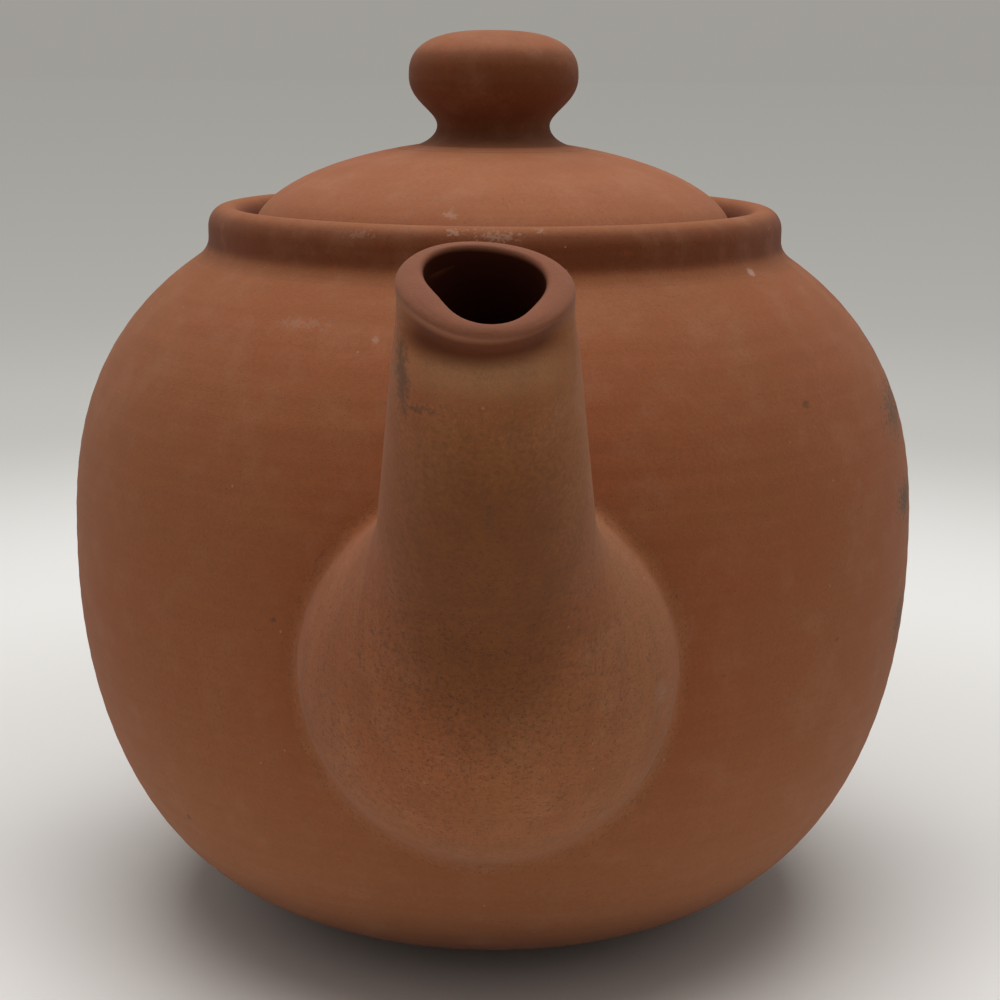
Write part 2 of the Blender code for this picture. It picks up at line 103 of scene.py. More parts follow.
# Shape of the spout's middle line and of its mouth
SPOUT_LINE = ((-0.0450, 0.0485), (-0.0705, 0.0570), (-0.0872, 0.0810), (-0.1008, 0.1097))
SPOUT_LINE_SAMPLES = 400
SPOUT_ROOT_LENGTH = 0.0180
SPOUT_BULB_LENGTH = 0.0335
MOUTH_BORE_BLEND = 0.0110
MOUTH_NECK_BLEND = 0.0070
MOUTH_RISE_SHARES = (0.0, (-0.028, 0.0, 0.0), (-0.067, 0.0, 0.0))
MOUTH_HOLE_SHARES = (0.708, (-0.069, 0.046, 0.058), (-0.010, 0.016, 0.0))
MOUTH_RIM_SHARES = (1.003, (-0.039, -0.023, 0.032), (-0.010, -0.006, 0.0))
MOUTH_CREST_SHARE = 0.25
GROOVE_FRONT = (-0.15, 0.75)

# Strainer behind the spout
STRAINER_HOLE_RADIUS = 0.0019
STRAINER_RING_RADIUS = 0.0078
STRAINER_RING_HOLES = 6
STRAINER_LIFT = 0.0010

# Shape of the handle's middle line: two cubic curves, (y, z) corners from top to bottom
HANDLE_MIDDLE_HEIGHT = 0.0680
HANDLE_TOP = (0.0510, 0.0870)
HANDLE_TOP_CORNER = (0.0740, 0.1015)
HANDLE_TOP_PULL = 0.0235
HANDLE_BOTTOM_PULL = 0.0200
HANDLE_LOW_CORNER = (0.0800, 0.0300)
HANDLE_LOW = (0.0560, 0.0335)
HANDLE_SPREAD_SHARES = (1.50, 1.00, 1.35)

# Share of one of the handle's curves that its smoothed clay takes up, for each metre of it
HANDLE_FILLET_SHARE = 13.0

# Shape of the lid's dome and of the knob, heights above the lid's underside
DOME_POWERS = (1.757, 2.08)
KNOB_SET_IN = 0.0003
KNOB_CROWN_RISE = 0.00685
KNOB_CROWN_POWER = 2.65
KNOB_WAIST_RADIUS = 0.0086
KNOB_WAIST_HEIGHT = 0.0185
KNOB_SWELL_PULL = 0.0038
KNOB_WAIST_PULL = 0.0021
KNOB_FOOT_LIFT = 0.00002
VENT_PLACE = 0.0215

# How far a luted piece sinks into the belly, and how high its feathered edge stands
SINK = 0.00035
FEATHER = 0.000012

# Rows and sides of the meshes
TURN_STEPS = 224
FLANK_ROWS = 84
DOME_ROWS = 40
EDGE_ROWS = 8
SPOUT_SIDES = 120
SPOUT_ROWS = 90
SPOUT_ROW_GATHERING = 1.4
BORE_ROWS = 30
NOSE_ROWS = 14
FILLET_ROWS = 9
HANDLE_SIDES = 56
HANDLE_ROWS = 110
HOLE_SIDES = 24
CROSSING_HALVINGS = 40
MERGE_DISTANCE = 0.000001
SMOOTH_ANGLE = math.radians(40.0)

# Noises in the clay: scale in waves per millimetre, detail, roughness and distortion
MILLIMETRES = 1000.0
CLOUDS = (0.032, 4.0, 0.55, 0.6)
BLOTCHES = (0.14, 5.0, 0.62, 0.0)
RUST = (0.33, 3.0, 0.5, 0.4)
LINES = (0.9, 3.0, 0.6, 0.0)
LINE_STRETCH = (0.05, 0.05, 1.0)
GRAIN = (1.7, 4.0, 0.72, 0.0)
GRAIN_WEIGHT = 0.55
SAND = (5.5, 2.0, 0.6, 0.0)
SAND_WEIGHT = 0.45
RUNS = (0.30, 3.0, 0.6, 0.0)
RUN_STRETCH = (1.0, 1.0, 0.12)

# How each noise shows: where it starts, where it is full, and what it gives there
CLOUD_SHARE = (0.62, 0.36, 0.0, 0.55)
BLOTCH_SHARE = (0.45, 0.75, 0.0, 0.16)
RUST_SHARE = (0.58, 0.78, 0.0, 0.20)
# Faces that look up get pale dust and painted top light
TOP_DUST_AND_LIGHT_FACES = (0.1, 0.95)
TOP_DUST_AND_LIGHT_PATCHES = (0.25, 0.7, 0.55, 1.0)
LINE_SHADE = (0.25, 0.75, 0.97, 1.03)
RUN_SHADE = (0.30, 0.70, 0.94, 1.05)
GRAIN_VALUES = (0.30, 0.70)
GRAIN_SHADE = (0.87, 1.12)
PITTED_CONTRAST = 1 / 12
SPECKS = (0.45, 0.36)
SPECK_PATCHES = (0.40, 0.60, 0.25, 0.75)
SPECK_HEIGHTS = (88.0, 68.0, 0.1, 1.0)

# Spots and pits: cells per millimetre, size in a cell, share of cells left out; then their share
RUBBED_SPOTS = (0.30, 0.07, 0.80)
RUBBED_SHARE = 0.35
COARSE_PITS = (0.90, 0.13, 0.80)
COARSE_PIT_SHARE = 0.7
FINE_PIT_CELLS = (2.1, 0.26)
FINE_PIT_RARITY = 0.70
FINE_PIT_CLOUDS = (0.42, 0.60)
PITTED_PLENTY = 1 / 4
SPOT_CORE = 0.45
SPOT_CHOICE_EDGE = 0.02

# Surface of the dry clay, and of the tea stain and painted shade in the channel
CLAY_SHINE = 0.20
CLAY_SHEEN = 0.06
CHANNEL_SHINE = 0.02
SHEEN_ROUGHNESS = 0.55
SHEEN_TINT = (1.0, 0.86, 0.76, 1.0)
ROUGHNESS_SPREAD = (-0.06, 0.08)
RELIEF_STRENGTH = 0.8
PIT_RELIEF = 0.8
LINE_RELIEF = 0.35

# Bands by height: heights in millimetres where they start and are full, and colour. The low band is
# yellower clay; the foot shade, the collar wall band and the knob band are painted shade.
BAND_SHARE = 0.85
LOW_AND_FOOT_SHADE_BANDS = ((52.0, 12.0, "low"), (19.0, 6.0, "foot_shade"))
COLLAR_WALL_SHADE_BANDS = ((110.7, 109.2, "collar"), (105.2, 103.8, "body"))
# The knob's band is painted shade below the ball's widest part
KNOB_SHADE_BANDS = ((134.6, 133.0, "knob_underside_shade"),)

# Stains and painted shade of the spout, in millimetres up from the tip's middle, out from it or forwards
# of it
MOUTH_STAIN_AND_SHADE_REACH = (7.9, 7.6)
MOUTH_STAIN_AND_SHADE_CLIMB = (-2.2, -1.6)
CHANNEL_REACH = (7.4, 7.0)
CHANNEL_TAPER = 0.12
CHANNEL_TOP = (-0.1, -0.8)
CHANNEL_END = (-24.0, -18.0)
# Drips and painted groove shade under the front of the lip
DRIPS_AND_SHADE_TOP = (-1.1, -2.3)
DRIPS_AND_SHADE_END = (-5.6, -3.4)
DRIPS_AND_SHADE_FRONT = (1.0, 5.5)
LIP_CLAY_CLIMB = (-2.6, -1.2)
LIP_CLAY_SHARE = 0.65
LIP_TILT_FORWARDS = 0.036
LIP_TILT_SIDEWAYS = 0.087

# Old marks and painted shade: centre and radii in millimetres, colour, share, raggedness and softness of
# the edge
BELLY_MARKS = (
    ((-25.0, -45.0, 98.0), (5.0, 4.0, 0.9), "scuff", 0.16, 5.0, 0.80),
    ((-15.0, -51.0, 96.7), (0.6, 1.2, 0.8), "scuff", 0.32, 2.5, 0.60),
    ((42.5, -42.0, 87.0), (1.0, 1.0, 0.7), "smoke", 0.60, 2.5, 0.60),
    ((-28.0, -59.0, 61.0), (0.5, 1.0, 0.5), "smoke", 0.55, 1.5, 0.60),
    ((-43.0, -40.0, 26.0), (0.6, 0.8, 0.6), "smoke", 0.55, 1.5, 0.60),
    ((48.0, -43.5, 54.5), (0.5, 0.7, 0.5), "smoke", 0.55, 1.5, 0.60),
    ((58.5, -15.0, 82.0), (3.4, 13.0, 4.6), "smoke", 0.80, 4.5, 0.80),
    ((60.5, -19.5, 69.5), (3.4, 8.0, 3.0), "smoke", 0.92, 4.5, 0.75),
    ((60.5, -11.0, 65.5), (5.0, 10.0, 2.0), "smoke", 0.55, 4.5, 0.80),
    ((60.5, -21.5, 51.5), (3.0, 6.0, 5.0), "smoke", 0.65, 4.5, 0.85),
    # Painted shade: a broad darkening of the right shoulder
    ((34.0, -42.0, 92.0), (34.0, 34.0, 24.0), "shade", 0.14, 0.5, 0.90),
)
COLLAR_MARKS = (
    ((36.5, -26.5, 103.3), (0.9, 1.2, 1.0), "scuff", 0.60, 2.0, 0.60),
    ((-5.0, -42.5, 110.0), (1.0, 1.2, 0.5), "scuff", 0.30, 8.0, 0.60),
    ((0.5, -43.0, 109.4), (2.8, 1.6, 0.7), "scuff", 0.26, 8.0, 0.60),
    ((6.5, -42.0, 110.2), (0.8, 1.0, 0.4), "scuff", 0.25, 8.0, 0.60),
    ((-18.0, -39.5, 109.3), (2.0, 1.8, 0.5), "scuff", 0.15, 8.0, 0.60),
)
SPOUT_MARKS = (
    # Partly patina, partly painted shade down the spout's front, which faces away from the light
    ((0.0, -98.0, 74.0), (17.5, 32.0, 31.0), "shade", 0.95, 0.3, 0.65),
    # Paler, yellower patch on the spout's front just below the lip
    ((0.0, -105.0, 101.6), (14.0, 9.0, 4.4), "pale_below_lip", 0.85, 0.6, 0.95),
    ((-8.7, -101.5, 100.0), (1.2, 5.0, 6.5), "smoke", 0.64, 2.5, 0.85),
    ((-6.9, -103.5, 97.0), (2.2, 3.0, 0.6), "smoke", 0.58, 3.5, 0.80),
    ((0.5, -101.0, 85.0), (0.5, 3.0, 3.0), "smoke", 0.35, 3.0, 0.60),
    ((3.5, -95.0, 71.0), (1.4, 3.0, 0.6), "smoke", 0.35, 3.0, 0.60),
    ((21.0, -71.0, 56.0), (2.0, 3.0, 2.0), "scuff", 0.15, 3.0, 0.60),
)
LID_MARKS = (((-6.0, -33.5, 111.5), (0.9, 1.2, 0.7), "scuff", 0.32, 8.0, 0.60),)

# Floor: its rings, and the distances or places between which its tones change: painted shadow round the
# pot, painted light in front, painted dimming further out and a glow far away
FLOOR_RADII = (0.0, 0.2, 0.6, 2.0, 12.0)
FLOOR_SIDES = 96
NEAR_SHADOW_REACH = (0.10, 0.20)
FRONT_LIGHT_PLACE = (0.02, -0.05)
MIDDLE_DIMMING_REACH = (0.20, 0.43)
FAR_GLOW_REACH = (0.42, 0.85)
PAPER_ROUGHNESS = 0.90
PAPER_SHINE = 0.20

# Room light, by how far a direction points to the back, and the camera's sensor in millimetres
ROOM_TINT = (1.0, 0.985, 0.96)
ROOM_FRONT_TO_BACK = (-0.95, -0.15)
SENSOR_WIDTH = 36.0


def length(name, description, default):
    """Property for a length in metres."""
    return FloatProperty(name=name, description=description, default=default, min=0.0,
                         precision=5, subtype="DISTANCE", unit="LENGTH")


def amount(name, description, default, highest=1.0):
    """Property for a plain factor."""
    return FloatProperty(name=name, description=description, default=default, min=0.0,
                         max=highest, precision=3, subtype="FACTOR")


def tint(name, description, default):
    """Property for a colour in linear values."""
    return FloatVectorProperty(name=name, description=description, default=default, min=0.0,
                               max=1.0, size=3, subtype="COLOR")


def turn(name, description, default):
    """Property for an angle, given in degrees."""
    return FloatProperty(name=name, description=description, default=math.radians(default),
                         subtype="ANGLE", unit="ROTATION")


class TeapotClay(PropertyGroup):
    """Colours and surface of the fired clay."""

    body: tint("Body clay", "Clay of the belly, collar and foot", (0.288, 0.0915, 0.030))
    spout: tint("Spout clay", "Clay of the spout, a little smoked", (0.292, 0.103, 0.034))
    handle: tint("Handle clay", "Clay of the handle", (0.322, 0.099, 0.035))
    lid: tint("Lid clay", "Clay of the lid", (0.325, 0.101, 0.037))
    knob: tint("Knob clay", "Clay of the knob", (0.270, 0.082, 0.029))
    # Painted shade on the knob below the ball's widest part
    knob_underside_shade: tint("Touched clay", "Clay that fingers have darkened", (0.165, 0.044, 0.012))
    # Painted shade on the collar's outer wall; the body clay takes over again at the wall's foot
    collar: tint("Collar clay", "Clay of the collar's outer wall", (0.150, 0.034, 0.008))
    low: tint("Low clay", "Yellower clay near the foot", (0.340, 0.128, 0.051))
    # Partly brown patina, partly painted shade: darkens the spout's front, which faces away from the
    # light, and the right shoulder
    shade: tint("Spout patina", "Brown patina down the front of the spout", (0.165, 0.052, 0.012))
    # Painted contact shade: the clay gets darker towards the floor, next to the foot
    foot_shade: tint("Foot shade", "Darker clay next to the foot", (0.170, 0.056, 0.022))
    lip: tint("Lip clay", "Redder clay of the lip", (0.222, 0.080, 0.050))
    # Partly tea stain, partly painted shade deep in the spout's channel
    tea_and_channel_shade: tint("Tea stain", "Stain inside the spout", (0.072, 0.018, 0.009))
    # Partly drip stain, partly painted shade in the groove under the front of the lip
    drips_and_groove_shade: tint("Drip stain", "Stain under the pouring lip", (0.114, 0.025, 0.004))
    # Pale dust in blotches, and painted top light on faces that look up
    dust_and_top_light: tint("Dust", "Pale bloom on edges and on faces that look up", (0.430, 0.218, 0.126))
    deep: tint("Deep clay", "Redder clay in the darker clouds", (0.290, 0.077, 0.025))
    rust: tint("Rust", "Small iron-red blushes", (0.360, 0.080, 0.032))
    # Painted shade in open pits, and the spout's dark specks
    pit_shade_and_specks: tint("Pits", "How open pits darken the clay", (0.420, 0.410, 0.360))
    smoke: tint("Smoke", "Kiln smoke and old stains", (0.085, 0.050, 0.028))
    scuff: tint("Scuffs", "Pale rubbed places", (0.540, 0.350, 0.260))
    # Paler, yellower clay on the spout's front just below the lip
    pale_below_lip: tint("Worn clay", "Yellower clay worn by pouring", (0.450, 0.210, 0.098))
    roughness: amount("Roughness", "Roughness of the dry clay", 0.80)
    grain: length("Grain depth", "Height of the sandy grain", 0.00009)


class TeapotBelly(PropertyGroup):
    """Sizes of the thrown belly."""

    wall: length("Wall", "Thickness of the thrown wall", 0.0045)
    line_depth: length("Outer lines", "Depth of the smoothed turning lines outside", 0.00003)
    line_pitch: length("Outer pitch", "Distance between the turning lines outside", 0.0034)
    finger_depth: length("Finger marks", "Depth of the finger marks inside", 0.00030)
    finger_pitch: length("Finger pitch", "Distance between the finger marks inside", 0.0062)
    unevenness: length("Unevenness", "How far the wall strays from a true circle", 0.00008)


class TeapotCollar(PropertyGroup):
    """Sizes of the collar and the foot."""

    width: length("Width", "Width of the collar's wall", 0.0054)
    lip_rise: length("Lip rise", "Height of the collar's rounded lip", 0.0031)
    fillet: length("Fillet", "Smoothed clay where the collar meets the shoulder", 0.0019)
    foot_width: length("Foot width", "Width of the foot ring", 0.0044)
    foot_edge: length("Foot edge", "Rounding of the foot ring", 0.0009)


class TeapotSpout(PropertyGroup):
    """Sizes of the spout."""

    tip_radius: length("Tip radius", "Outer radius at the mouth", 0.0091)
    neck_radius: length("Neck radius", "Outer radius that the taper starts from", 0.0161)
    root_radius: length("Root radius", "Outer radius of the bulb on the belly", 0.0247)
    root_wall: length("Root wall", "Wall at the root", 0.0045)
    tip_wall: length("Tip wall", "Wall near the mouth", 0.0030)
    lip_inner_drop: length("Inner rounding", "Height of the lip's rounding inside", 0.0008)
    lip_outer_drop: length("Outer rounding", "Height of the lip's rounding outside", 0.0010)
    groove_depth: length("Groove depth", "Depth of the groove under the lip", 0.0010)
    groove_place: length("Groove place", "Distance of the groove below the lip", 0.0022)
    groove_spread: length("Groove spread", "Half the width of the groove", 0.0021)
    fillet: length("Fillet", "Smoothed clay where the spout meets the belly", 0.0020)


class TeapotHandle(PropertyGroup):
    """Sizes of the handle."""

    thickness: length("Thickness", "Thickness of the loop", 0.0105)
    width: length("Width", "Width of the loop", 0.0140)
    fillet: length("Fillet", "Smoothed clay where the handle meets the belly", 0.0034)
    unevenness: length("Unevenness", "How far the loop strays from its true section", 0.00015)


class TeapotLid(PropertyGroup):
    """Sizes of the lid and its knob."""

    edge: length("Edge", "Rounding of the lid's edge", 0.0019)
    wall: length("Wall", "Thickness of the dome", 0.0042)
    flange_width: length("Flange width", "Width of the ring under the lid", 0.0032)
    flange_edge: length("Flange edge", "Rounding of the ring under the lid", 0.0010)
    vent_radius: length("Vent radius", "Radius of the steam vent", 0.0015)
    knob_foot: length("Knob foot", "Radius where the knob flares onto the dome", 0.0146)
    offset: length("Offset", "How far to the left the loose lid sits", 0.00035)
    line_depth: length("Lines", "Depth of the turning lines", 0.000025)
    line_pitch: length("Line pitch", "Distance between the turning lines", 0.0021)
    unevenness: length("Unevenness", "How far the dome strays from a true circle", 0.00007)
    knob_unevenness: length("Knob unevenness", "How far the knob strays from a true circle", 0.00012)


class TeapotStage(PropertyGroup):
    """Floor, lamp and camera."""

    # Paper darkened by a painted shadow round the pot
    near_shadowed: tint("Near floor", "Pale paper round the pot", (0.725, 0.715, 0.690))
    open: tint("Open floor", "Paler paper beside and behind the pot", (0.830, 0.820, 0.795))
    # Painted light on the paper in front of the pot
    front: tint("Front floor", "Paler paper in front of the pot", (0.910, 0.900, 0.875))
    # Painted dimming of the paper further away
    middle: tint("Middle floor", "Greyer paper further away", (0.570, 0.562, 0.535))
    # Painted glow: the far paper shines as the camera sees it
    far_glow: tint("Far floor", "Paper as the camera sees it far away", (0.468, 0.460, 0.437))
    backdrop: tint("Backdrop", "Colour behind everything", (0.350, 0.338, 0.312))
    # Distance beyond which the painted glow fades into the backdrop's tone
    fade: length("Fade", "Distance at which the paper starts to fade away", 0.50)
    overhead: FloatProperty(name="Overhead lamp", description="Power of the soft lamp above",
                            default=10.5, min=0.0, unit="POWER")
    overhead_size: length("Lamp size", "Side of the overhead lamp", 1.00)
    overhead_height: length("Lamp height", "Height of the overhead lamp", 1.10)
    overhead_back: length("Lamp setback", "How far behind the pot the lamp hangs", 0.08)
    room_front: amount("Front light", "Room light from the spout's side", 0.14, 2.0)
    room_back: amount("Back light", "Room light from the sides and the back", 0.36, 2.0)
    lens: FloatProperty(name="Lens", description="Focal length in millimetres", default=69.5)
    distance: length("Camera distance", "Distance from the pot's axis", 0.300)
    height: length("Camera height", "Height above the floor", 0.1323)
    side: turn("Camera side", "Turn round the pot", 0.5)
    pitch: turn("Camera pitch", "Turn downwards", 12.85)
    roll: turn("Camera roll", "Lean of the camera", 0.4)
    shift: FloatProperty(name="Shift", description="Sideways shift of the frame", default=0.007)


# Numbers and curves

def evenly(count):
    """Shares from 0 to 1 in equal steps."""
    return [step / count for step in range(count + 1)]


def smooth_step(low, high, value):
    """Share that runs smoothly from 0 at low to 1 at high."""
    share = min(max((value - low) / (high - low), 0.0), 1.0)
    return share * share * (3.0 - 2.0 * share)


def bell(value, middle, width):
    """Bell-shaped weight around a middle value."""
    return math.exp(-((value - middle) / width) ** 2)


def mix(first, second, share):
    """Value or vector between two others."""
    return first * (1.0 - share) + second * share


def cubic(corners, share):
    """Point at a share of the way along a cubic Bezier curve."""
    rest = 1.0 - share
    weights = (rest ** 3, 3 * rest ** 2 * share, 3 * rest * share ** 2, share ** 3)
    total = Vector((0.0, 0.0))
    for corner, weight in zip(corners, weights):
        total += Vector(corner) * weight
    return total


def bend(start, corner, end, rows):
    """Rounded corner in the profile plane between a start and an end."""
    start, corner, end = Vector(start), Vector(corner), Vector(end)
    corners = (start, mix(start, corner, CORNER_PULL), mix(end, corner, CORNER_PULL), end)
    return [tuple(cubic(corners, share)) for share in evenly(rows)]


def arc(centre, half_width, half_height, start, end, rows):
    """Elliptical arc in the profile plane between two angles in degrees."""
    points = []
    for share in evenly(rows):
        angle = math.radians(mix(start, end, share))
        points.append((centre[0] + half_width * math.cos(angle),
                       centre[1] + half_height * math.sin(angle)))
    return points


def ring_profile(outer, width, top, bottom, edge):
    """Profile of a plain ring whose two lower edges are rounded."""
    inner = outer - width
    profile = [(inner, top), (outer, top)]
    profile += arc((outer - edge, bottom + edge), edge, edge, 0, -90, EDGE_ROWS)
    profile += arc((inner + edge, bottom + edge), edge, edge, -90, -180, EDGE_ROWS)
    return profile


def turning_lines(height, depth, pitch):
    """Height-dependent offset of turning lines whose spacing drifts a little."""
    phase = math.tau * height / pitch
    main = MAIN_WAVE * math.sin(phase + PITCH_DRIFT * math.sin(phase / PITCH_DRIFT_LENGTH))
    fine = FINE_WAVE * math.sin(phase * FINE_WAVE_RATE + FINE_WAVE_START)
    return depth * (main + fine)


def straying(point, depth):
    """Slow unevenness that a hand leaves on turned clay."""
    return depth * noise.noise(Vector(point) * STRAYS_PER_METRE)


# Meshes and pieces

def mesh_from_rings(name, rings, closed=False):
    """Mesh whose faces join each ring of points to the next. A ring of one point is a pole."""
    work = bmesh.new()
    corners = [[work.verts.new(point) for point in ring] for ring in rings]
    pairs = list(zip(corners, corners[1:]))
    if closed:
        pairs.append((corners[-1], corners[0]))
    for ring, following in pairs:
        sides = max(len(ring), len(following))
        for side in range(sides):
            beside = (side + 1) % sides
            face = [ring[side % len(ring)], ring[beside % len(ring)],
                    following[beside % len(following)], following[side % len(following)]]
            work.faces.new(list(dict.fromkeys(face)))
    bmesh.ops.recalc_face_normals(work, faces=work.faces)
    mesh = bpy.data.meshes.new(name)
    work.to_mesh(mesh)
    work.free()
    return mesh


def turned_rings(profile, steps, shift=None):
    """Rings of a profile turned round the Z axis, each point moved outwards by a shift."""
    rings = []
    for radius, height in profile:
        if radius < MERGE_DISTANCE:
            rings.append([Vector((0.0, 0.0, height))])
            continue
        ring = []
        for step in range(steps):
            angle = math.tau * step / steps
            place = Vector((radius * math.cos(angle), radius * math.sin(angle), height))
            if shift is not None:
                outwards = Vector((place.x, place.y, 0.0)) / radius
                place += outwards * shift(place)
            ring.append(place)
        rings.append(ring)
    return rings


def in_scene(name, data):
    """New object in the scene."""
    made = bpy.data.objects.new(name, data)
    bpy.context.scene.collection.objects.link(made)
    return made


def drill(name, radius, depth, places, axis):
    """Cylinders that cut round holes at places along the Y or Z axis."""
    work = bmesh.new()
    for place in places:
        made = bmesh.ops.create_cone(work, cap_ends=True, segments=HOLE_SIDES, radius1=radius,
                                     radius2=radius, depth=depth)
        for corner in made["verts"]:
            x, y, z = corner.co
            turned = Vector((x, z, -y)) if axis == "Y" else Vector((x, y, z))
            corner.co = turned + place
    mesh = bpy.data.meshes.new(name)
    work.to_mesh(mesh)
    work.free()
    return in_scene(name, mesh)


def drilled(piece, tool):
    """Cut the tool out of the piece and remove the tool."""
    cut = piece.modifiers.new("holes", "BOOLEAN")
    cut.operation = "DIFFERENCE"
    cut.solver = "EXACT"
    cut.object = tool
    bpy.context.view_layer.update()
    depsgraph = bpy.context.evaluated_depsgraph_get()
    mesh = bpy.data.meshes.new_from_object(piece.evaluated_get(depsgraph))
    piece.modifiers.clear()
    piece.data = mesh
    bpy.data.objects.remove(tool)


def new_piece(name, rings, body, nodes, material, closed=False, tool=None):
    """Put a skin in the scene, riding its body in place of its nodes."""
    piece = in_scene(name, mesh_from_rings(name, rings, closed))
    if tool is not None:
        drilled(piece, tool)
    piece.data.shade_smooth()
    piece.data.set_sharp_from_angle(angle=SMOOTH_ANGLE)
    piece.data.materials.clear()
    piece.data.materials.append(material)
    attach(piece, body)
    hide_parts(*nodes)
    return piece


# Belly

def flank_radius(height):
    """Outer radius of the belly at a height."""
    if height >= WIDEST_HEIGHT:
        share = (height - WIDEST_HEIGHT) / SHOULDER_RISE
        radial, upright = SHOULDER_POWERS
    else:
        share = (WIDEST_HEIGHT - height) / BELLY_DROP
        radial, upright = BELLY_POWERS
    return BELLY_RADIUS * max(1.0 - min(share, 1.0) ** upright, 0.0) ** (1.0 / radial)


def height_on_shoulder(radius):
    """Height at which the shoulder has a radius."""
    radial, upright = SHOULDER_POWERS
    level = 1.0 - (radius / BELLY_RADIUS) ** radial
    return WIDEST_HEIGHT + SHOULDER_RISE * level ** (1.0 / upright)


def flank_rows(inset, top, bottom, rows):
    """Side of the belly from a top height to a bottom height, set in by an inset."""
    radius = BELLY_RADIUS - inset
    side = []
    for rise, powers, level, sign in (
            (SHOULDER_RISE - inset, SHOULDER_POWERS, top - WIDEST_HEIGHT, 1.0),
            (BELLY_DROP - inset, BELLY_POWERS, WIDEST_HEIGHT - bottom, -1.0)):
        last = math.asin(min(1.0, (level / rise) ** (powers[1] / 2.0)))
        quarter = []
        for share in evenly(rows):
            angle = last * share
            reach = radius * math.cos(angle) ** (2.0 / powers[0])
            climb = rise * math.sin(angle) ** (2.0 / powers[1])
            quarter.append((reach, WIDEST_HEIGHT + sign * climb))
        side += list(reversed(quarter)) if sign > 0 else quarter[1:]
    return side


def skin_shift(place):
    """How far the belly's outer skin strays from its true shape."""
    settings = bpy.context.scene.teapot_belly
    fade = smooth_step(SEAT_HEIGHT, SEAT_HEIGHT - OUTER_LINES_BELOW_SEAT, place.z)
    fade *= smooth_step(UNDERSIDE_HEIGHT, LINES_ABOVE_FLOOR, place.z)
    lines = turning_lines(place.z, settings.line_depth, settings.line_pitch)
    return lines * fade + straying(place, settings.unevenness)


def outside_flank(point):
    """Distance of a point outside the belly's skin, measured across the axis."""
    return math.hypot(point.x, point.y) - flank_radius(point.z) - skin_shift(point)


def flank_normal(point):
    """Direction square to the belly's skin at a point on it."""
    step = 0.0002
    slope = (flank_radius(point.z + step) - flank_radius(point.z - step)) / (2 * step)
    reach = math.hypot(point.x, point.y)
    return Vector((point.x / reach, point.y / reach, -slope)).normalized()


def on_flank(point, lift):
    """Nearest point at the same height that stands off the belly's skin by a lift."""
    scale = (flank_radius(point.z) + skin_shift(point) + lift) / math.hypot(point.x, point.y)
    return Vector((point.x * scale, point.y * scale, point.z))


def belly_shift(settings):
    """Turning lines and unevenness outside, finger marks inside."""
    def shift(place):
        reach = math.hypot(place.x, place.y)
        if reach > flank_radius(place.z) - settings.wall / 2:
            return skin_shift(place)
        ceiling = SEAT_HEIGHT - SEAT_THICKNESS
        fade = smooth_step(ceiling, SEAT_HEIGHT - FINGER_LINES_BELOW_SEAT, place.z)
        fade *= smooth_step(UNDERSIDE_HEIGHT + FLOOR_THICKNESS, LINES_ABOVE_FLOOR, place.z)
        return turning_lines(place.z, settings.finger_depth, settings.finger_pitch) * fade
    return shift


def strainer_drills(depth):
    """Drills for one hole behind the spout's root and a ring of holes round it."""
    middle = Vector((0.0, -BELLY_RADIUS, spout_middle(SPOUT_ROOT_LENGTH).z + STRAINER_LIFT))
    places = [middle]
    for index in range(STRAINER_RING_HOLES):
        angle = math.tau * index / STRAINER_RING_HOLES
        places.append(middle + Vector((math.cos(angle), 0.0, math.sin(angle))) * STRAINER_RING_RADIUS)
    return drill("strainer_drills", STRAINER_HOLE_RADIUS, depth, places, "Y")


def make_belly(settings, material):
    """Hollow belly with its flat seat, neck hole, finger marks and pierced strainer."""
    floor = UNDERSIDE_HEIGHT + FLOOR_THICKNESS
    ceiling = SEAT_HEIGHT - SEAT_THICKNESS
    edge = NECK_HOLE_EDGE
    profile = [(0.0, floor)]
    profile += reversed(flank_rows(settings.wall, ceiling, floor, FLANK_ROWS // 2))
    profile += arc((NECK_HOLE_RADIUS + edge, ceiling + edge), edge, edge, 270, 180, EDGE_ROWS // 2)
    profile += arc((NECK_HOLE_RADIUS + edge, SEAT_HEIGHT - edge), edge, edge, 180, 90, EDGE_ROWS // 2)
    profile += flank_rows(0.0, SEAT_HEIGHT, UNDERSIDE_HEIGHT, FLANK_ROWS)
    profile.append((0.0, UNDERSIDE_HEIGHT))
    rings = turned_rings(profile, TURN_STEPS, belly_shift(settings))
    return new_piece("belly", rings, "pot", ["pot_body"], material,
                     tool=strainer_drills(4 * settings.wall))


# Collar and foot

def make_collar(settings, material):
    """Round-lipped collar with smoothed clay where it stands on the shoulder."""
    radius = COLLAR_HIGH.x - COLLAR_FLARE
    inner = radius - settings.width
    half = settings.width / 2
    lip = (radius - half, COLLAR_HIGH.z - settings.lip_rise)
    foot = radius + settings.fillet
    foot_height = height_on_shoulder(foot)
    profile = arc(lip, half, settings.lip_rise, 180, 0, 3 * EDGE_ROWS)
    profile += bend((radius, foot_height + COLLAR_FILLET_RISE * settings.fillet),
                    (radius, height_on_shoulder(radius)), (foot, foot_height + FEATHER), FILLET_ROWS)
    profile += [(foot - SINK / 2, foot_height - SINK), (inner + SINK, SEAT_HEIGHT - SINK),
                (inner, SEAT_HEIGHT)]
    rings = turned_rings(profile, TURN_STEPS, skin_shift)
    return new_piece("collar", rings, "pot", ["neck_collar"], material, closed=True)


def make_foot(settings, material):
    """Low ring under the belly with rounded edges."""
    profile = ring_profile(FOOT_HIGH.x, settings.foot_width, UNDERSIDE_HEIGHT + SINK, 0.0,
                           settings.foot_edge)
    rings = turned_rings(profile, TURN_STEPS // 2)
    return new_piece("foot", rings, "pot", ["foot_ring"], material, closed=True)


# Spout

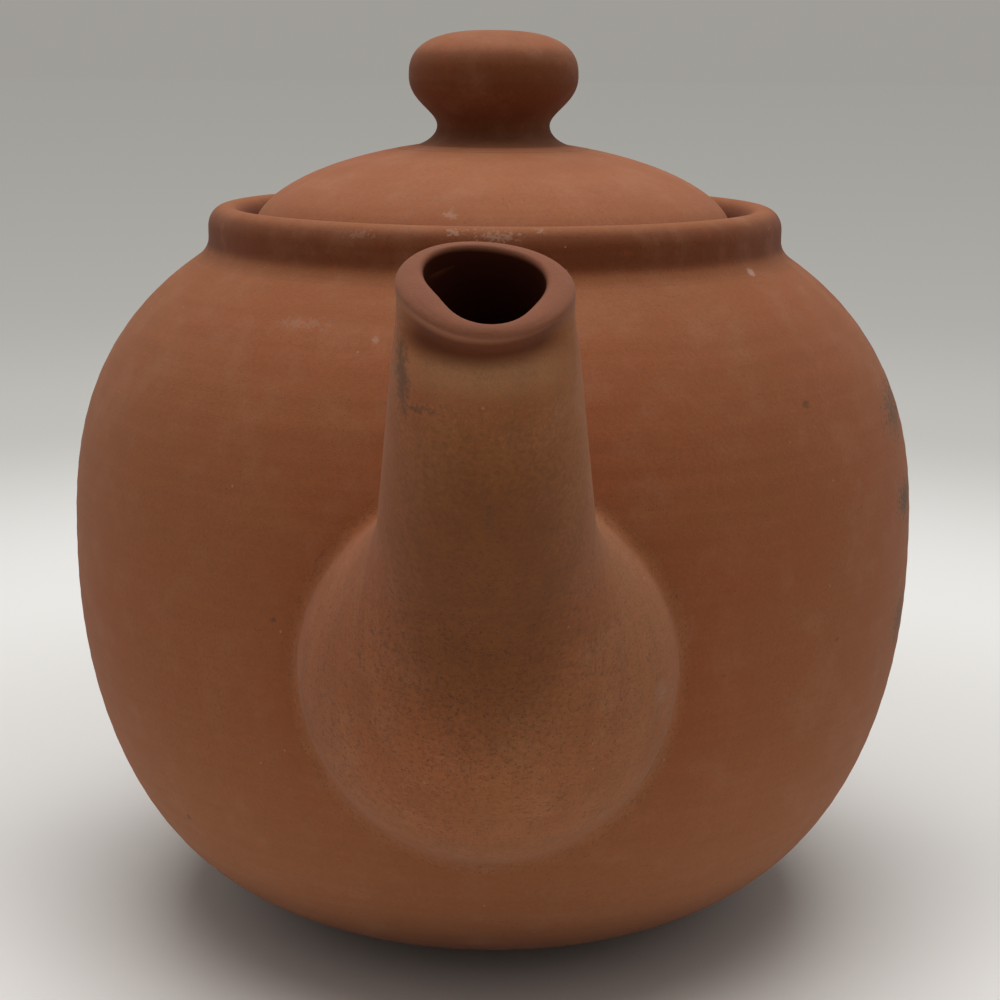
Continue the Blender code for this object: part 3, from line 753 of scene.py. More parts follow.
def line_distances():
    """Distance along the spout's middle line at evenly spaced shares of its curve."""
    distances = [0.0]
    points = [cubic(SPOUT_LINE, share) for share in evenly(SPOUT_LINE_SAMPLES)]
    for before, after in zip(points, points[1:]):
        distances.append(distances[-1] + (after - before).length)
    return distances


LINE_DISTANCES = line_distances()
SPOUT_LENGTH = LINE_DISTANCES[-1]


def spout_middle(distance):
    """Middle of the spout at a distance along it."""
    index = min(max(bisect.bisect_left(LINE_DISTANCES, distance), 1), SPOUT_LINE_SAMPLES) - 1
    before, after = LINE_DISTANCES[index], LINE_DISTANCES[index + 1]
    y, z = cubic(SPOUT_LINE, (index + (distance - before) / (after - before)) / SPOUT_LINE_SAMPLES)
    return Vector((0.0, y, z))


def spout_along(distance):
    """Direction of the spout's middle line at a distance along it."""
    step = 0.0004
    return (spout_middle(distance + step) - spout_middle(distance - step)).normalized()


def square_to(along):
    """Direction in the pot's middle plane that is square to a middle line."""
    return Vector((0.0, -along.z, along.y))


def spout_radius(settings, distance):
    """Outer radius: a straight taper plus a bell-shaped swelling at the root."""
    along = max(distance, SPOUT_ROOT_LENGTH)
    share = (SPOUT_LENGTH - along) / (SPOUT_LENGTH - SPOUT_ROOT_LENGTH)
    taper = mix(settings.tip_radius, settings.neck_radius, share)
    bulb = min((along - SPOUT_ROOT_LENGTH) / SPOUT_BULB_LENGTH, 1.0)
    swelling = (settings.root_radius - settings.neck_radius) * (1 + math.cos(math.pi * bulb)) / 2
    return taper + swelling


def round_mouth(settings, shares, angle):
    """Length that varies round the mouth: a mean and three waves, in shares of the tip's radius."""
    total, even, odd = shares
    for index in range(len(even)):
        total += even[index] * math.cos((index + 1) * angle)
        total += odd[index] * math.sin((index + 1) * angle)
    return settings.tip_radius * total


def lip_top(settings, angle):
    """Distance along the spout at which the lip's crest lies at one angle."""
    return SPOUT_LENGTH + round_mouth(settings, MOUTH_RISE_SHARES, angle)


def lip_relief(settings, angle, depth):
    """Broad groove under the front of the lip, by depth below its rounding."""
    front = smooth_step(*GROOVE_FRONT, math.cos(angle))
    return -front * settings.groove_depth * bell(depth, settings.groove_place, settings.groove_spread)


def skin_point(angle, distance, radius):
    """Point round the spout's middle line; angle 0 is the front."""
    front = square_to(spout_along(distance))
    across = front * math.cos(angle) + Vector((1.0, 0.0, 0.0)) * math.sin(angle)
    return spout_middle(distance) + across * radius


def outer_skin(settings, angle, distance):
    """Point on the spout's outer skin below the lip."""
    depth = lip_top(settings, angle) - settings.lip_outer_drop - distance
    rim = round_mouth(settings, MOUTH_RIM_SHARES, angle)
    radius = mix(rim, spout_radius(settings, distance), smooth_step(0.0, MOUTH_NECK_BLEND, depth))
    return skin_point(angle, distance, radius + lip_relief(settings, angle, depth))


def inner_skin(settings, angle, distance):
    """Point on the wall of the spout's channel below the lip."""
    depth = lip_top(settings, angle) - settings.lip_inner_drop - distance
    wall = mix(settings.root_wall, settings.tip_wall, distance / SPOUT_LENGTH)
    bore = spout_radius(settings, distance) - wall
    hole = round_mouth(settings, MOUTH_HOLE_SHARES, angle)
    return skin_point(angle, distance, mix(hole, bore, smooth_step(0.0, MOUTH_BORE_BLEND, depth)))


def lip_points(settings, angle):
    """Rounded lip from the channel's wall over the crest to the outer skin."""
    hole = round_mouth(settings, MOUTH_HOLE_SHARES, angle)
    rim = round_mouth(settings, MOUTH_RIM_SHARES, angle)
    rim += lip_relief(settings, angle, 0.0)
    crest = mix(hole, rim, MOUTH_CREST_SHARE)
    top = lip_top(settings, angle)
    points = []
    for share in evenly(NOSE_ROWS)[1:]:
        swing = math.pi / 2 * share
        radius = mix(crest, hole, math.cos(swing))
        points.append(skin_point(angle, top - settings.lip_inner_drop * (1 - math.sin(swing)), radius))
    for share in evenly(NOSE_ROWS)[1:-1]:
        swing = math.pi / 2 * share
        radius = mix(crest, rim, math.sin(swing))
        points.append(skin_point(angle, top - settings.lip_outer_drop * (1 - math.cos(swing)), radius))
    return points


def crossing(point_at, low, high, lift):
    """Parameter at which a line of points leaves the belly's skin, from inside to outside."""
    for _ in range(CROSSING_HALVINGS):
        middle = (low + high) / 2
        if outside_flank(point_at(middle)) < lift:
            low = middle
        else:
            high = middle
    return (low + high) / 2


def fillet(start, corner, middle, size):
    """Smoothed clay from a start on the luted piece to the belly's skin, ending sunk in it.

    It leads away from the piece's middle, and the corner is where the piece meets the skin.
    """
    normal = flank_normal(corner)
    outwards = corner - middle
    away = (outwards - normal * outwards.dot(normal)).normalized()
    end = on_flank(corner + away * size, FEATHER)
    points = []
    for share in evenly(FILLET_ROWS)[1:]:
        points.append(mix(mix(start, corner, share), mix(corner, end, share), share))
    return points + [end - flank_normal(end) * (SINK + FEATHER)]


def spout_column(settings, angle):
    """Points from the channel's root over the lip and down to the belly at one angle."""
    def inside(distance):
        return inner_skin(settings, angle, distance)

    def outside(distance):
        return outer_skin(settings, angle, distance)

    top = lip_top(settings, angle)
    bore_top = top - settings.lip_inner_drop
    bore_start = crossing(inside, 0.0, bore_top, -SINK)
    neck_top = top - settings.lip_outer_drop
    edge = crossing(outside, 0.0, neck_top, 0.0)
    last = edge + settings.fillet
    points = [inside(mix(bore_start, bore_top, share)) for share in evenly(BORE_ROWS)]
    points += lip_points(settings, angle)
    points += [outside(mix(neck_top, last, share ** SPOUT_ROW_GATHERING))
               for share in evenly(SPOUT_ROWS)]
    return points + fillet(outside(last), outside(edge), spout_middle(edge), settings.fillet)


def make_spout(settings, material):
    """Tapered spout with a bulb at its root and a rolled, pulled lip."""
    columns = [spout_column(settings, math.tau * side / SPOUT_SIDES) for side in range(SPOUT_SIDES)]
    return new_piece("pouring_spout", list(zip(*columns)), "pot", ["spout"], material,
                     closed=True)


# Handle

def handle_curves(settings):
    """Upper and lower cubic curves of the handle's middle line."""
    reach = HANDLE_REACH - settings.thickness / 2
    middle = (reach, HANDLE_MIDDLE_HEIGHT)
    upper = (HANDLE_TOP, HANDLE_TOP_CORNER, (reach, HANDLE_MIDDLE_HEIGHT + HANDLE_TOP_PULL), middle)
    lower = (middle, (reach, HANDLE_MIDDLE_HEIGHT - HANDLE_BOTTOM_PULL), HANDLE_LOW_CORNER, HANDLE_LOW)
    return upper, lower


def handle_middle(curves, place):
    """Middle of the handle; place runs from 0 at the top root over 1 to 2 at the low root."""
    index = 0 if place <= 1.0 else 1
    y, z = cubic(curves[index], place - index)
    return Vector((0.0, y, z))


def handle_skin(settings, curves, angle, place):
    """Point on the handle's skin; angle 0 looks away from the finger gap."""
    step = 0.001
    low = min(max(place - step, 0.0), 2.0 - 2 * step)
    along = (handle_middle(curves, low + 2 * step) - handle_middle(curves, low)).normalized()
    index = 0 if place <= 1.0 else 1
    spread = mix(HANDLE_SPREAD_SHARES[index], HANDLE_SPREAD_SHARES[index + 1],
                 smooth_step(0, 1, place - index))
    across = square_to(along) * math.cos(angle) * settings.thickness / 2
    across += Vector((1.0, 0.0, 0.0)) * math.sin(angle) * settings.width / 2
    point = handle_middle(curves, place) + across * spread
    return point + across.normalized() * straying(point, settings.unevenness)


def handle_column(settings, curves, angle):
    """Points from the top root to the low root at one angle."""
    def skin(place):
        return handle_skin(settings, curves, angle, place)

    def skin_from_below(place):
        return skin(2.0 - place)

    top = crossing(skin, 0.0, 1.0, 0.0)
    low = 2.0 - crossing(skin_from_below, 0.0, 1.0, 0.0)
    reach = HANDLE_FILLET_SHARE * settings.fillet
    first, last = top + reach, low - reach
    head = fillet(skin(first), skin(top), handle_middle(curves, top), settings.fillet)
    tail = fillet(skin(last), skin(low), handle_middle(curves, low), settings.fillet)
    return head[::-1] + [skin(mix(first, last, share)) for share in evenly(HANDLE_ROWS)] + tail


def make_handle(settings, material):
    """Ear-shaped loop pulled from a strap of clay and smoothed onto the belly."""
    curves = handle_curves(settings)
    columns = [handle_column(settings, curves, math.tau * side / HANDLE_SIDES)
               for side in range(HANDLE_SIDES)]
    rings = list(zip(*columns))
    top, low = [[on_flank(sum(ring, Vector()) / len(ring), -2 * SINK)]
                for ring in (rings[0], rings[-1])]
    return new_piece("ear_handle", [top, *rings, low], "pot", ["handle"], material)


# Lid

def dome_height(radius, rise):
    """Height of the dome above its edge."""
    level = max(1.0 - (radius / LID_HIGH.x) ** DOME_POWERS[0], 0.0)
    return rise * level ** (1.0 / DOME_POWERS[1])


def dome_rows(edge_radius, base, rise, rows):
    """Dome points over a base from the middle to the edge, closer together towards the edge."""
    scale = LID_HIGH.x / edge_radius
    points = []
    for share in evenly(rows):
        radius = edge_radius * math.sin(math.pi / 2 * share)
        points.append((radius, base + dome_height(radius * scale, rise)))
    return points


def lid_shift(settings):
    """Turning lines and unevenness of the lid."""
    def shift(place):
        reach = math.hypot(place.x, place.y)
        lines = turning_lines(reach + place.z, settings.line_depth, settings.line_pitch)
        return lines + straying(place, settings.unevenness)
    return shift


def make_lid(settings, material):
    """Domed lid with a rounded edge, a hollow underside and a steam vent."""
    edge = settings.edge
    base = LID_LOW.z
    radius = LID_HIGH.x
    rise = LID_HIGH.z - base - edge
    inner = FLANGE_HIGH.x - settings.flange_width
    profile = dome_rows(radius, base + edge, rise, DOME_ROWS)
    profile += arc((radius - edge, base + edge), edge, edge, 0, -90, EDGE_ROWS)[1:]
    profile += reversed(dome_rows(inner, base, edge + rise - settings.wall, DOME_ROWS // 2))
    rings = turned_rings(profile, TURN_STEPS, lid_shift(settings))
    vent = Vector((0.0, VENT_PLACE, base + edge + rise / 2))
    return new_piece("lid_cap", rings, "lid", ["lid_dome"], material,
                     tool=drill("vent_drill", settings.vent_radius, 3 * rise, [vent], "Z"))


def make_flange(settings, material):
    """Ring that hangs from the lid into the neck."""
    profile = ring_profile(FLANGE_HIGH.x, settings.flange_width, LID_LOW.z + SINK, FLANGE_LOW.z,
                           settings.flange_edge)
    rings = turned_rings(profile, TURN_STEPS // 2)
    return new_piece("lid_rim", rings, "lid", ["lid_flange"], material, closed=True)


def make_knob(settings, material):
    """Oblate ball on a waisted neck that flares onto the dome."""
    base = LID_LOW.z
    top = KNOB_HIGH.z
    widest = top - KNOB_CROWN_RISE
    radius = KNOB_HIGH.x - KNOB_SET_IN
    profile = [(0.0, top)]
    for share in evenly(DOME_ROWS)[1:]:
        angle = math.pi / 2 * (1 - share)
        profile.append((radius * math.cos(angle) ** (2 / KNOB_CROWN_POWER),
                        widest + KNOB_CROWN_RISE * math.sin(angle) ** (2 / KNOB_CROWN_POWER)))
    waist = base + KNOB_WAIST_HEIGHT
    swell = ((radius, widest), (radius, widest - KNOB_SWELL_PULL),
             (KNOB_WAIST_RADIUS, waist + KNOB_WAIST_PULL), (KNOB_WAIST_RADIUS, waist))
    profile += [tuple(cubic(swell, share)) for share in evenly(DOME_ROWS)[1:]]
    foot = settings.knob_foot
    seat = base + settings.edge + dome_height(foot, LID_HIGH.z - base - settings.edge)
    profile += arc((foot, waist), foot - KNOB_WAIST_RADIUS, waist - seat - KNOB_FOOT_LIFT,
                   180, 270, 2 * EDGE_ROWS)[1:]
    profile += [(foot + SINK / 2, seat - SINK), (0.0, seat - SINK)]

    def shift(place):
        return straying(place, settings.knob_unevenness)

    rings = turned_rings(profile, TURN_STEPS // 2, shift)
    return new_piece("knob", rings, "lid", ["lid_knob"], material)


# Steps of a shader

def plug(tree, value, socket):
    """Give a socket another node's output, a colour of three values or a plain value."""
    if isinstance(value, bpy.types.NodeSocket):
        tree.links.new(value, socket)
    elif socket.type == "RGBA":
        socket.default_value = (*value, 1.0)
    else:
        socket.default_value = value


def add_node(tree, kind, inputs=None, **settings):
    """New shader node; an input is a value or another node's output."""
    node = tree.nodes.new(kind)
    for name, value in settings.items():
        setattr(node, name, value)
    for name, value in (inputs or {}).items():
        plug(tree, value, node.inputs[name])
    return node


def combined(tree, operation, first, second):
    """Result of one step of arithmetic on two values."""
    node = add_node(tree, "ShaderNodeMath", {0: first, 1: second}, operation=operation)
    return node.outputs["Value"]


def plus(tree, first, second):
    """Sum of two values."""
    return combined(tree, "ADD", first, second)


def times(tree, first, *others):
    """Product of two or more values."""
    for other in others:
        first = combined(tree, "MULTIPLY", first, other)
    return first


def vectors(tree, operation, first, second=(0.0, 0.0, 0.0)):
    """Result of one step of vector arithmetic, which is a value for a length or a dot product."""
    node = add_node(tree, "ShaderNodeVectorMath", {0: first, 1: second}, operation=operation)
    return node.outputs["Value" if operation in ("LENGTH", "DOT_PRODUCT") else "Vector"]


def axis_of(tree, axis, vector):
    """One of a vector's three parts."""
    return add_node(tree, "ShaderNodeSeparateXYZ", {"Vector": vector}).outputs[axis]


def ranged(tree, value, low, high, new_low=0.0, new_high=1.0):
    """Value mapped smoothly from one range to another."""
    node = add_node(tree, "ShaderNodeMapRange", {
        "Value": value, "From Min": low, "From Max": high, "To Min": new_low, "To Max": new_high},
        interpolation_type="SMOOTHSTEP")
    return node.outputs["Result"]


def blended(tree, share, below, above, blend="MIX"):
    """Colour with another one laid over it by a share."""
    node = tree.nodes.new("ShaderNodeMix")
    node.data_type = "RGBA"
    node.blend_type = blend
    colours = [socket for socket in node.inputs if socket.type == "RGBA"]
    for value, socket in zip((share, below, above), (node.inputs[0], *colours)):
        plug(tree, value, socket)
    return next(socket for socket in node.outputs if socket.type == "RGBA")


def noise_at(tree, place, scale, detail, roughness, distortion):
    """Noise factor at a place in millimetres."""
    node = add_node(tree, "ShaderNodeTexNoise", {
        "Vector": place, "Scale": scale, "Detail": detail, "Roughness": roughness,
        "Distortion": distortion})
    return node.outputs["Fac"]


def spots(tree, place, scale, size, rarity):
    """Scattered round spots of a size, in cells of a scale; rarity leaves cells out."""
    cells = add_node(tree, "ShaderNodeTexVoronoi", {"Vector": place, "Scale": scale})
    share = add_node(tree, "ShaderNodeSeparateColor", {"Color": cells.outputs["Color"]})
    chosen = ranged(tree, share.outputs["Red"], rarity - SPOT_CHOICE_EDGE, rarity + SPOT_CHOICE_EDGE)
    return times(tree, chosen, ranged(tree, cells.outputs["Distance"], size, size * SPOT_CORE))


def new_material(name):
    """New material, its node tree and its main shader."""
    material = bpy.data.materials.new(name)
    material.use_nodes = True
    return material, material.node_tree, material.node_tree.nodes["Principled BSDF"]


# Clay

class ClayNoises:
    """Noises that several layers of one clay share, with their place in millimetres."""

    def __init__(self, tree):
        """Add the noises to the clay's nodes."""
        coordinates = add_node(tree, "ShaderNodeTexCoord")
        self.place = add_node(tree, "ShaderNodeVectorMath", {
            0: coordinates.outputs["Object"], "Scale": MILLIMETRES}, operation="SCALE").outputs["Vector"]
        self.height = axis_of(tree, "Z", self.place)
        self.clouds = noise_at(tree, self.place, *CLOUDS)
        self.blotches = noise_at(tree, self.place, *BLOTCHES)
        self.lines = noise_at(tree, vectors(tree, "MULTIPLY", self.place, LINE_STRETCH), *LINES)
        self.grain = noise_at(tree, self.place, *GRAIN)
        sand = noise_at(tree, self.place, *SAND)
        self.speckle = plus(tree, times(tree, self.grain, GRAIN_WEIGHT), times(tree, sand, SAND_WEIGHT))


def fired_ground(tree, noises, settings, colour, bands):
    """Clay with its darker clouds, its bands of height (some of them painted shade), pale blotches and
    rusty blushes.
    """
    tone = blended(tree, ranged(tree, noises.clouds, *CLOUD_SHARE), getattr(settings, colour),
                   settings.deep)
    for start, full, band_colour in LOW_AND_FOOT_SHADE_BANDS + bands:
        share = ranged(tree, noises.height, start, full, 0.0, BAND_SHARE)
        tone = blended(tree, share, tone, getattr(settings, band_colour))
    tone = blended(tree, ranged(tree, noises.blotches, *BLOTCH_SHARE), tone, settings.dust_and_top_light)
    rust = noise_at(tree, noises.place, *RUST)
    return blended(tree, ranged(tree, rust, *RUST_SHARE), tone, settings.rust)


def top_dust_and_light(tree, noises, dust_and_top_light):
    """Share of pale dust and painted top light, most on faces that look up and uneven like the blotches.
    """
    upwards = axis_of(tree, "Z", add_node(tree, "ShaderNodeNewGeometry").outputs["Normal"])
    return times(tree, ranged(tree, upwards, *TOP_DUST_AND_LIGHT_FACES, 0.0, dust_and_top_light),
                 ranged(tree, noises.blotches, *TOP_DUST_AND_LIGHT_PATCHES))


def patch(tree, noises, centre, radii, ragged, soft):
    """Share of a patch round a centre, in millimetres, whose edge the grain makes ragged."""
    offset = vectors(tree, "SUBTRACT", noises.place, centre)
    reach = vectors(tree, "LENGTH", vectors(tree, "DIVIDE", offset, radii))
    strays = times(tree, combined(tree, "SUBTRACT", noises.grain, 0.5), ragged)
    return ranged(tree, plus(tree, reach, strays), 1.0, 1.0 - soft)


def marked(tree, noises, settings, tone, marks):
    """Tone with small rubbed spots, and with the old marks and patches of painted shade over it one
    after another.
    """
    rubbed = times(tree, spots(tree, noises.place, *RUBBED_SPOTS), RUBBED_SHARE)
    tone = blended(tree, rubbed, tone, settings.scuff)
    for centre, radii, colour, share, ragged, soft in marks:
        mark = patch(tree, noises, centre, radii, ragged, soft)
        tone = blended(tree, times(tree, mark, share), tone, getattr(settings, colour))
    return tone


def grain_shade(tree, noises, pitted):
    """How the grain and the turning lines lighten and darken the clay."""
    dark, light = GRAIN_SHADE
    contrast = pitted * PITTED_CONTRAST
    shade = ranged(tree, noises.speckle, *GRAIN_VALUES, dark - contrast, light + contrast)
    return times(tree, shade, ranged(tree, noises.lines, *LINE_SHADE))


def open_pits(tree, noises, pitted):
    """Where the clay has open pits: a few coarse ones, and fine ones more in some clouds."""
    coarse = times(tree, spots(tree, noises.place, *COARSE_PITS), COARSE_PIT_SHARE)
    rarity = FINE_PIT_RARITY - pitted * PITTED_PLENTY
    fine = times(tree, spots(tree, noises.place, *FINE_PIT_CELLS, rarity),
                 ranged(tree, noises.clouds, *FINE_PIT_CLOUDS, pitted, 1.0))
    return combined(tree, "MAXIMUM", coarse, fine)


def smoked_grain(tree, noises, shade, pits):
    """The spout's shade with faint runs down it, and its pits with dark specks on the bulb."""
    runs = noise_at(tree, vectors(tree, "MULTIPLY", noises.place, RUN_STRETCH), *RUNS)
    specks = times(tree, ranged(tree, noises.speckle, *SPECKS),
                   ranged(tree, noises.blotches, *SPECK_PATCHES))
    pits = combined(tree, "MAXIMUM", pits, specks)
    return (times(tree, shade, ranged(tree, runs, *RUN_SHADE)),
            times(tree, pits, ranged(tree, noises.height, *SPECK_HEIGHTS)))


def spout_stains_and_shade(tree, place):
    """Shares of tea stain and painted shade in the channel, of drips and painted groove shade under the
    lip, and of the lip's own clay.
    """
    along = spout_along(SPOUT_LENGTH)
    moved = vectors(tree, "SUBTRACT", place, spout_middle(SPOUT_LENGTH) * MILLIMETRES)
    climb = vectors(tree, "DOT_PRODUCT", moved, along)
    reach = vectors(tree, "LENGTH", vectors(tree, "CROSS_PRODUCT", moved, along))
    front = vectors(tree, "DOT_PRODUCT", moved, square_to(along))
    side = axis_of(tree, "X", moved)
    tilt = plus(tree, times(tree, front, LIP_TILT_FORWARDS), times(tree, side, LIP_TILT_SIDEWAYS))
    below_lip = plus(tree, climb, tilt)
    mouth = times(tree, ranged(tree, reach, *MOUTH_STAIN_AND_SHADE_REACH), ranged(tree, climb, *MOUTH_STAIN_AND_SHADE_CLIMB))
    widening = plus(tree, reach, times(tree, climb, CHANNEL_TAPER))
    channel = combined(tree, "MAXIMUM", mouth, ranged(tree, widening, *CHANNEL_REACH))
    channel = times(tree, channel, ranged(tree, below_lip, *CHANNEL_TOP),
                    ranged(tree, climb, *CHANNEL_END))
    drips_and_groove_shade = times(tree, ranged(tree, climb, *DRIPS_AND_SHADE_TOP), ranged(tree, climb, *DRIPS_AND_SHADE_END),
                  ranged(tree, front, *DRIPS_AND_SHADE_FRONT))
    return channel, drips_and_groove_shade, ranged(tree, below_lip, *LIP_CLAY_CLIMB)


def stained_and_shaded_spout(tree, noises, settings, shader, tone):
    """Tone with the lip's clay, the drips and groove shade, and the tea stain and channel shade, which
    hardly shines.
    """
    channel, drips_and_groove_shade, lip = spout_stains_and_shade(tree, noises.place)
    tone = blended(tree, times(tree, lip, LIP_CLAY_SHARE), tone, settings.lip)
    tone = blended(tree, drips_and_groove_shade, tone, settings.drips_and_groove_shade)
    shine = ranged(tree, channel, 0.0, 1.0, CLAY_SHINE, CHANNEL_SHINE)
    plug(tree, shine, shader.inputs["Specular IOR Level"])
    plug(tree, ranged(tree, channel, 0.0, 1.0, CLAY_SHEEN, 0.0), shader.inputs["Sheen Weight"])
    return blended(tree, channel, tone, settings.tea_and_channel_shade)


def dry_surface(tree, noises, settings, shader, pits):
    """Roughness, sheen and fine relief of the dry clay."""
    smoother, rougher = ROUGHNESS_SPREAD
    rough = ranged(tree, noises.speckle, *GRAIN_VALUES, settings.roughness + smoother,
                   settings.roughness + rougher)
    plug(tree, rough, shader.inputs["Roughness"])
    shader.inputs["Specular IOR Level"].default_value = CLAY_SHINE
    shader.inputs["Sheen Weight"].default_value = CLAY_SHEEN
    shader.inputs["Sheen Roughness"].default_value = SHEEN_ROUGHNESS
    shader.inputs["Sheen Tint"].default_value = SHEEN_TINT
    relief = combined(tree, "SUBTRACT", noises.speckle, times(tree, pits, PIT_RELIEF))
    relief = plus(tree, relief, times(tree, noises.lines, LINE_RELIEF))
    bump = add_node(tree, "ShaderNodeBump", {
        "Strength": RELIEF_STRENGTH, "Distance": settings.grain, "Height": relief})
    plug(tree, bump.outputs["Normal"], shader.inputs["Normal"])


def clay(name, colour, marks=(), bands=(), dust_and_top_light=0.10, pits=0.5, pitted=0.0, stained_and_shaded=False):
    """Dry fired clay: kiln clouds, sandy grain, open pits with painted shade, pale dust with painted top
    light on faces that look up, and old marks.
    """
    settings = bpy.context.scene.teapot_clay
    material, tree, shader = new_material(name)
    noises = ClayNoises(tree)
    tone = fired_ground(tree, noises, settings, colour, bands)
    # Pale dust, with painted top light on faces that look up
    tone = blended(tree, top_dust_and_light(tree, noises, dust_and_top_light), tone, settings.dust_and_top_light)
    tone = marked(tree, noises, settings, tone, marks)
    shade = grain_shade(tree, noises, pitted)
    open_share = open_pits(tree, noises, pitted)
    if stained_and_shaded:
        shade, open_share = smoked_grain(tree, noises, shade, open_share)
    grey = add_node(tree, "ShaderNodeCombineColor", {"Red": shade, "Green": shade, "Blue": shade})
    tone = blended(tree, 1.0, tone, grey.outputs["Color"], "MULTIPLY")
    # Painted shade in the open pits and the dark specks
    tone = blended(tree, times(tree, open_share, pits), tone, settings.pit_shade_and_specks, "MULTIPLY")
    dry_surface(tree, noises, settings, shader, open_share)
    if stained_and_shaded:
        tone = stained_and_shaded_spout(tree, noises, settings, shader, tone)
    plug(tree, tone, shader.inputs["Base Color"])
    return material


# Stage

def paper_with_painted_light(stage):
    """Pale paper with painted shadow round the pot, painted light in front of it and painted dimming
    further out; far away the camera sees a glow in the backdrop's tone.
    """
    material, tree, shader = new_material("paper_with_painted_light")
    place = add_node(tree, "ShaderNodeTexCoord").outputs["Object"]
    reach = vectors(tree, "LENGTH", place)
    tone = blended(tree, ranged(tree, reach, *NEAR_SHADOW_REACH), stage.near_shadowed, stage.open)
    front_light = ranged(tree, axis_of(tree, "Y", place), *FRONT_LIGHT_PLACE)
    tone = blended(tree, front_light, tone, stage.front)
    tone = blended(tree, ranged(tree, reach, *MIDDLE_DIMMING_REACH), tone, stage.middle)
    plug(tree, tone, shader.inputs["Base Color"])
    shader.inputs["Roughness"].default_value = PAPER_ROUGHNESS
    shader.inputs["Specular IOR Level"].default_value = PAPER_SHINE
    nearness = add_node(tree, "ShaderNodeMath", {0: stage.fade, 1: reach}, operation="DIVIDE",
                        use_clamp=True).outputs["Value"]
    # Painted glow of the far paper, seen only by the camera
    glow = add_node(tree, "ShaderNodeEmission", {
        "Color": blended(tree, nearness, stage.backdrop, stage.far_glow)})
    seen = add_node(tree, "ShaderNodeLightPath").outputs["Is Camera Ray"]
    surface = add_node(tree, "ShaderNodeMixShader", {
        0: times(tree, seen, ranged(tree, reach, *FAR_GLOW_REACH)), 1: shader.outputs["BSDF"],
        2: glow.outputs["Emission"]})
    plug(tree, surface.outputs["Shader"], tree.nodes["Material Output"].inputs["Surface"])
    return material


def make_floor(stage):
    """Large round floor."""
    rings = turned_rings([(radius, 0.0) for radius in FLOOR_RADII], FLOOR_SIDES)
    floor = in_scene("floor", mesh_from_rings("floor", rings))
    floor.data.materials.append(paper_with_painted_light(stage))


def make_world(stage):
    """Room light, dim on the spout's side, with the backdrop's colour where the camera looks."""
    world = bpy.data.worlds.new("room")
    bpy.context.scene.world = world
    world.use_nodes = True
    tree = world.node_tree
    tree.nodes.clear()
    towards_back = axis_of(tree, "Y", add_node(tree, "ShaderNodeTexCoord").outputs["Generated"])
    strength = ranged(tree, towards_back, *ROOM_FRONT_TO_BACK, stage.room_front, stage.room_back)
    light = add_node(tree, "ShaderNodeBackground", {"Color": ROOM_TINT, "Strength": strength})
    backdrop = add_node(tree, "ShaderNodeBackground", {"Color": stage.backdrop, "Strength": 1.0})
    seen = add_node(tree, "ShaderNodeLightPath").outputs["Is Camera Ray"]
    chosen = add_node(tree, "ShaderNodeMixShader", {
        0: seen, 1: light.outputs["Background"], 2: backdrop.outputs["Background"]})
    add_node(tree, "ShaderNodeOutputWorld", {"Surface": chosen.outputs["Shader"]})


def make_lamp(stage):
    """Square soft lamp that hangs over the pot and faces the floor."""
    data = bpy.data.lights.new("overhead_lamp", "AREA")
    data.shape = "SQUARE"
    data.size = stage.overhead_size
    data.energy = stage.overhead
    lamp = in_scene("overhead_lamp", data)
    lamp.location = (0.0, stage.overhead_back, stage.overhead_height)


def make_camera(stage):
    """Camera at the height and angle of a person who bends down to the spout."""
    data = bpy.data.cameras.new("camera")
    data.lens = stage.lens
    data.sensor_width = SENSOR_WIDTH
    data.shift_x = stage.shift
    camera = in_scene("camera", data)
    camera.location = (stage.distance * math.sin(stage.side), -stage.distance * math.cos(stage.side),
                       stage.height)
    camera.rotation_mode = "XYZ"
    camera.rotation_euler = (math.pi / 2 - stage.pitch, 0.0, stage.side)
    camera.rotation_euler.rotate_axis("Z", stage.roll)
    bpy.context.scene.camera = camera


def make_stage(stage):
    """Floor, room light, lamp and camera."""
    make_floor(stage)
    make_world(stage)
    make_lamp(stage)
    make_camera(stage)
    bpy.context.scene.view_settings.view_transform = "Standard"


# Operators and panel

class TEAPOT_OT_belly(Operator):
    """Make the thrown belly"""

    bl_idname = "teapot.belly"
    bl_label = "Belly"

    def execute(self, context):
        """Build the belly in its clay."""
        make_belly(context.scene.teapot_belly, clay("fired_body_clay", "body", BELLY_MARKS))
        return {"FINISHED"}


class TEAPOT_OT_collar_and_foot(Operator):
    """Make the collar round the lid and the foot ring"""

    bl_idname = "teapot.collar_and_foot"
    bl_label = "Collar and foot"

    def execute(self, context):
        """Build both rings in the clay of the body."""
        sizes = context.scene.teapot_collar
        # The collar's clay carries a band of painted shade on its outer wall
        make_collar(sizes, clay("fired_collar_clay", "body", COLLAR_MARKS, COLLAR_WALL_SHADE_BANDS, dust_and_top_light=0.12))
        make_foot(sizes, clay("fired_foot_clay", "body", dust_and_top_light=0.0))
        return {"FINISHED"}


class TEAPOT_OT_spout(Operator):
    """Make the spout with its rolled lip"""

    bl_idname = "teapot.spout"
    bl_label = "Spout"

    def execute(self, context):
        """Build the spout in its clay."""
        material = clay("fired_spout_clay", "spout", SPOUT_MARKS, pits=0.75, pitted=0.7, stained_and_shaded=True)
        make_spout(context.scene.teapot_spout, material)
        return {"FINISHED"}


class TEAPOT_OT_handle(Operator):
    """Make the handle"""

    bl_idname = "teapot.handle"
    bl_label = "Handle"

    def execute(self, context):
        """Build the handle in its clay."""
        make_handle(context.scene.teapot_handle, clay("fired_handle_clay", "handle"))
        return {"FINISHED"}


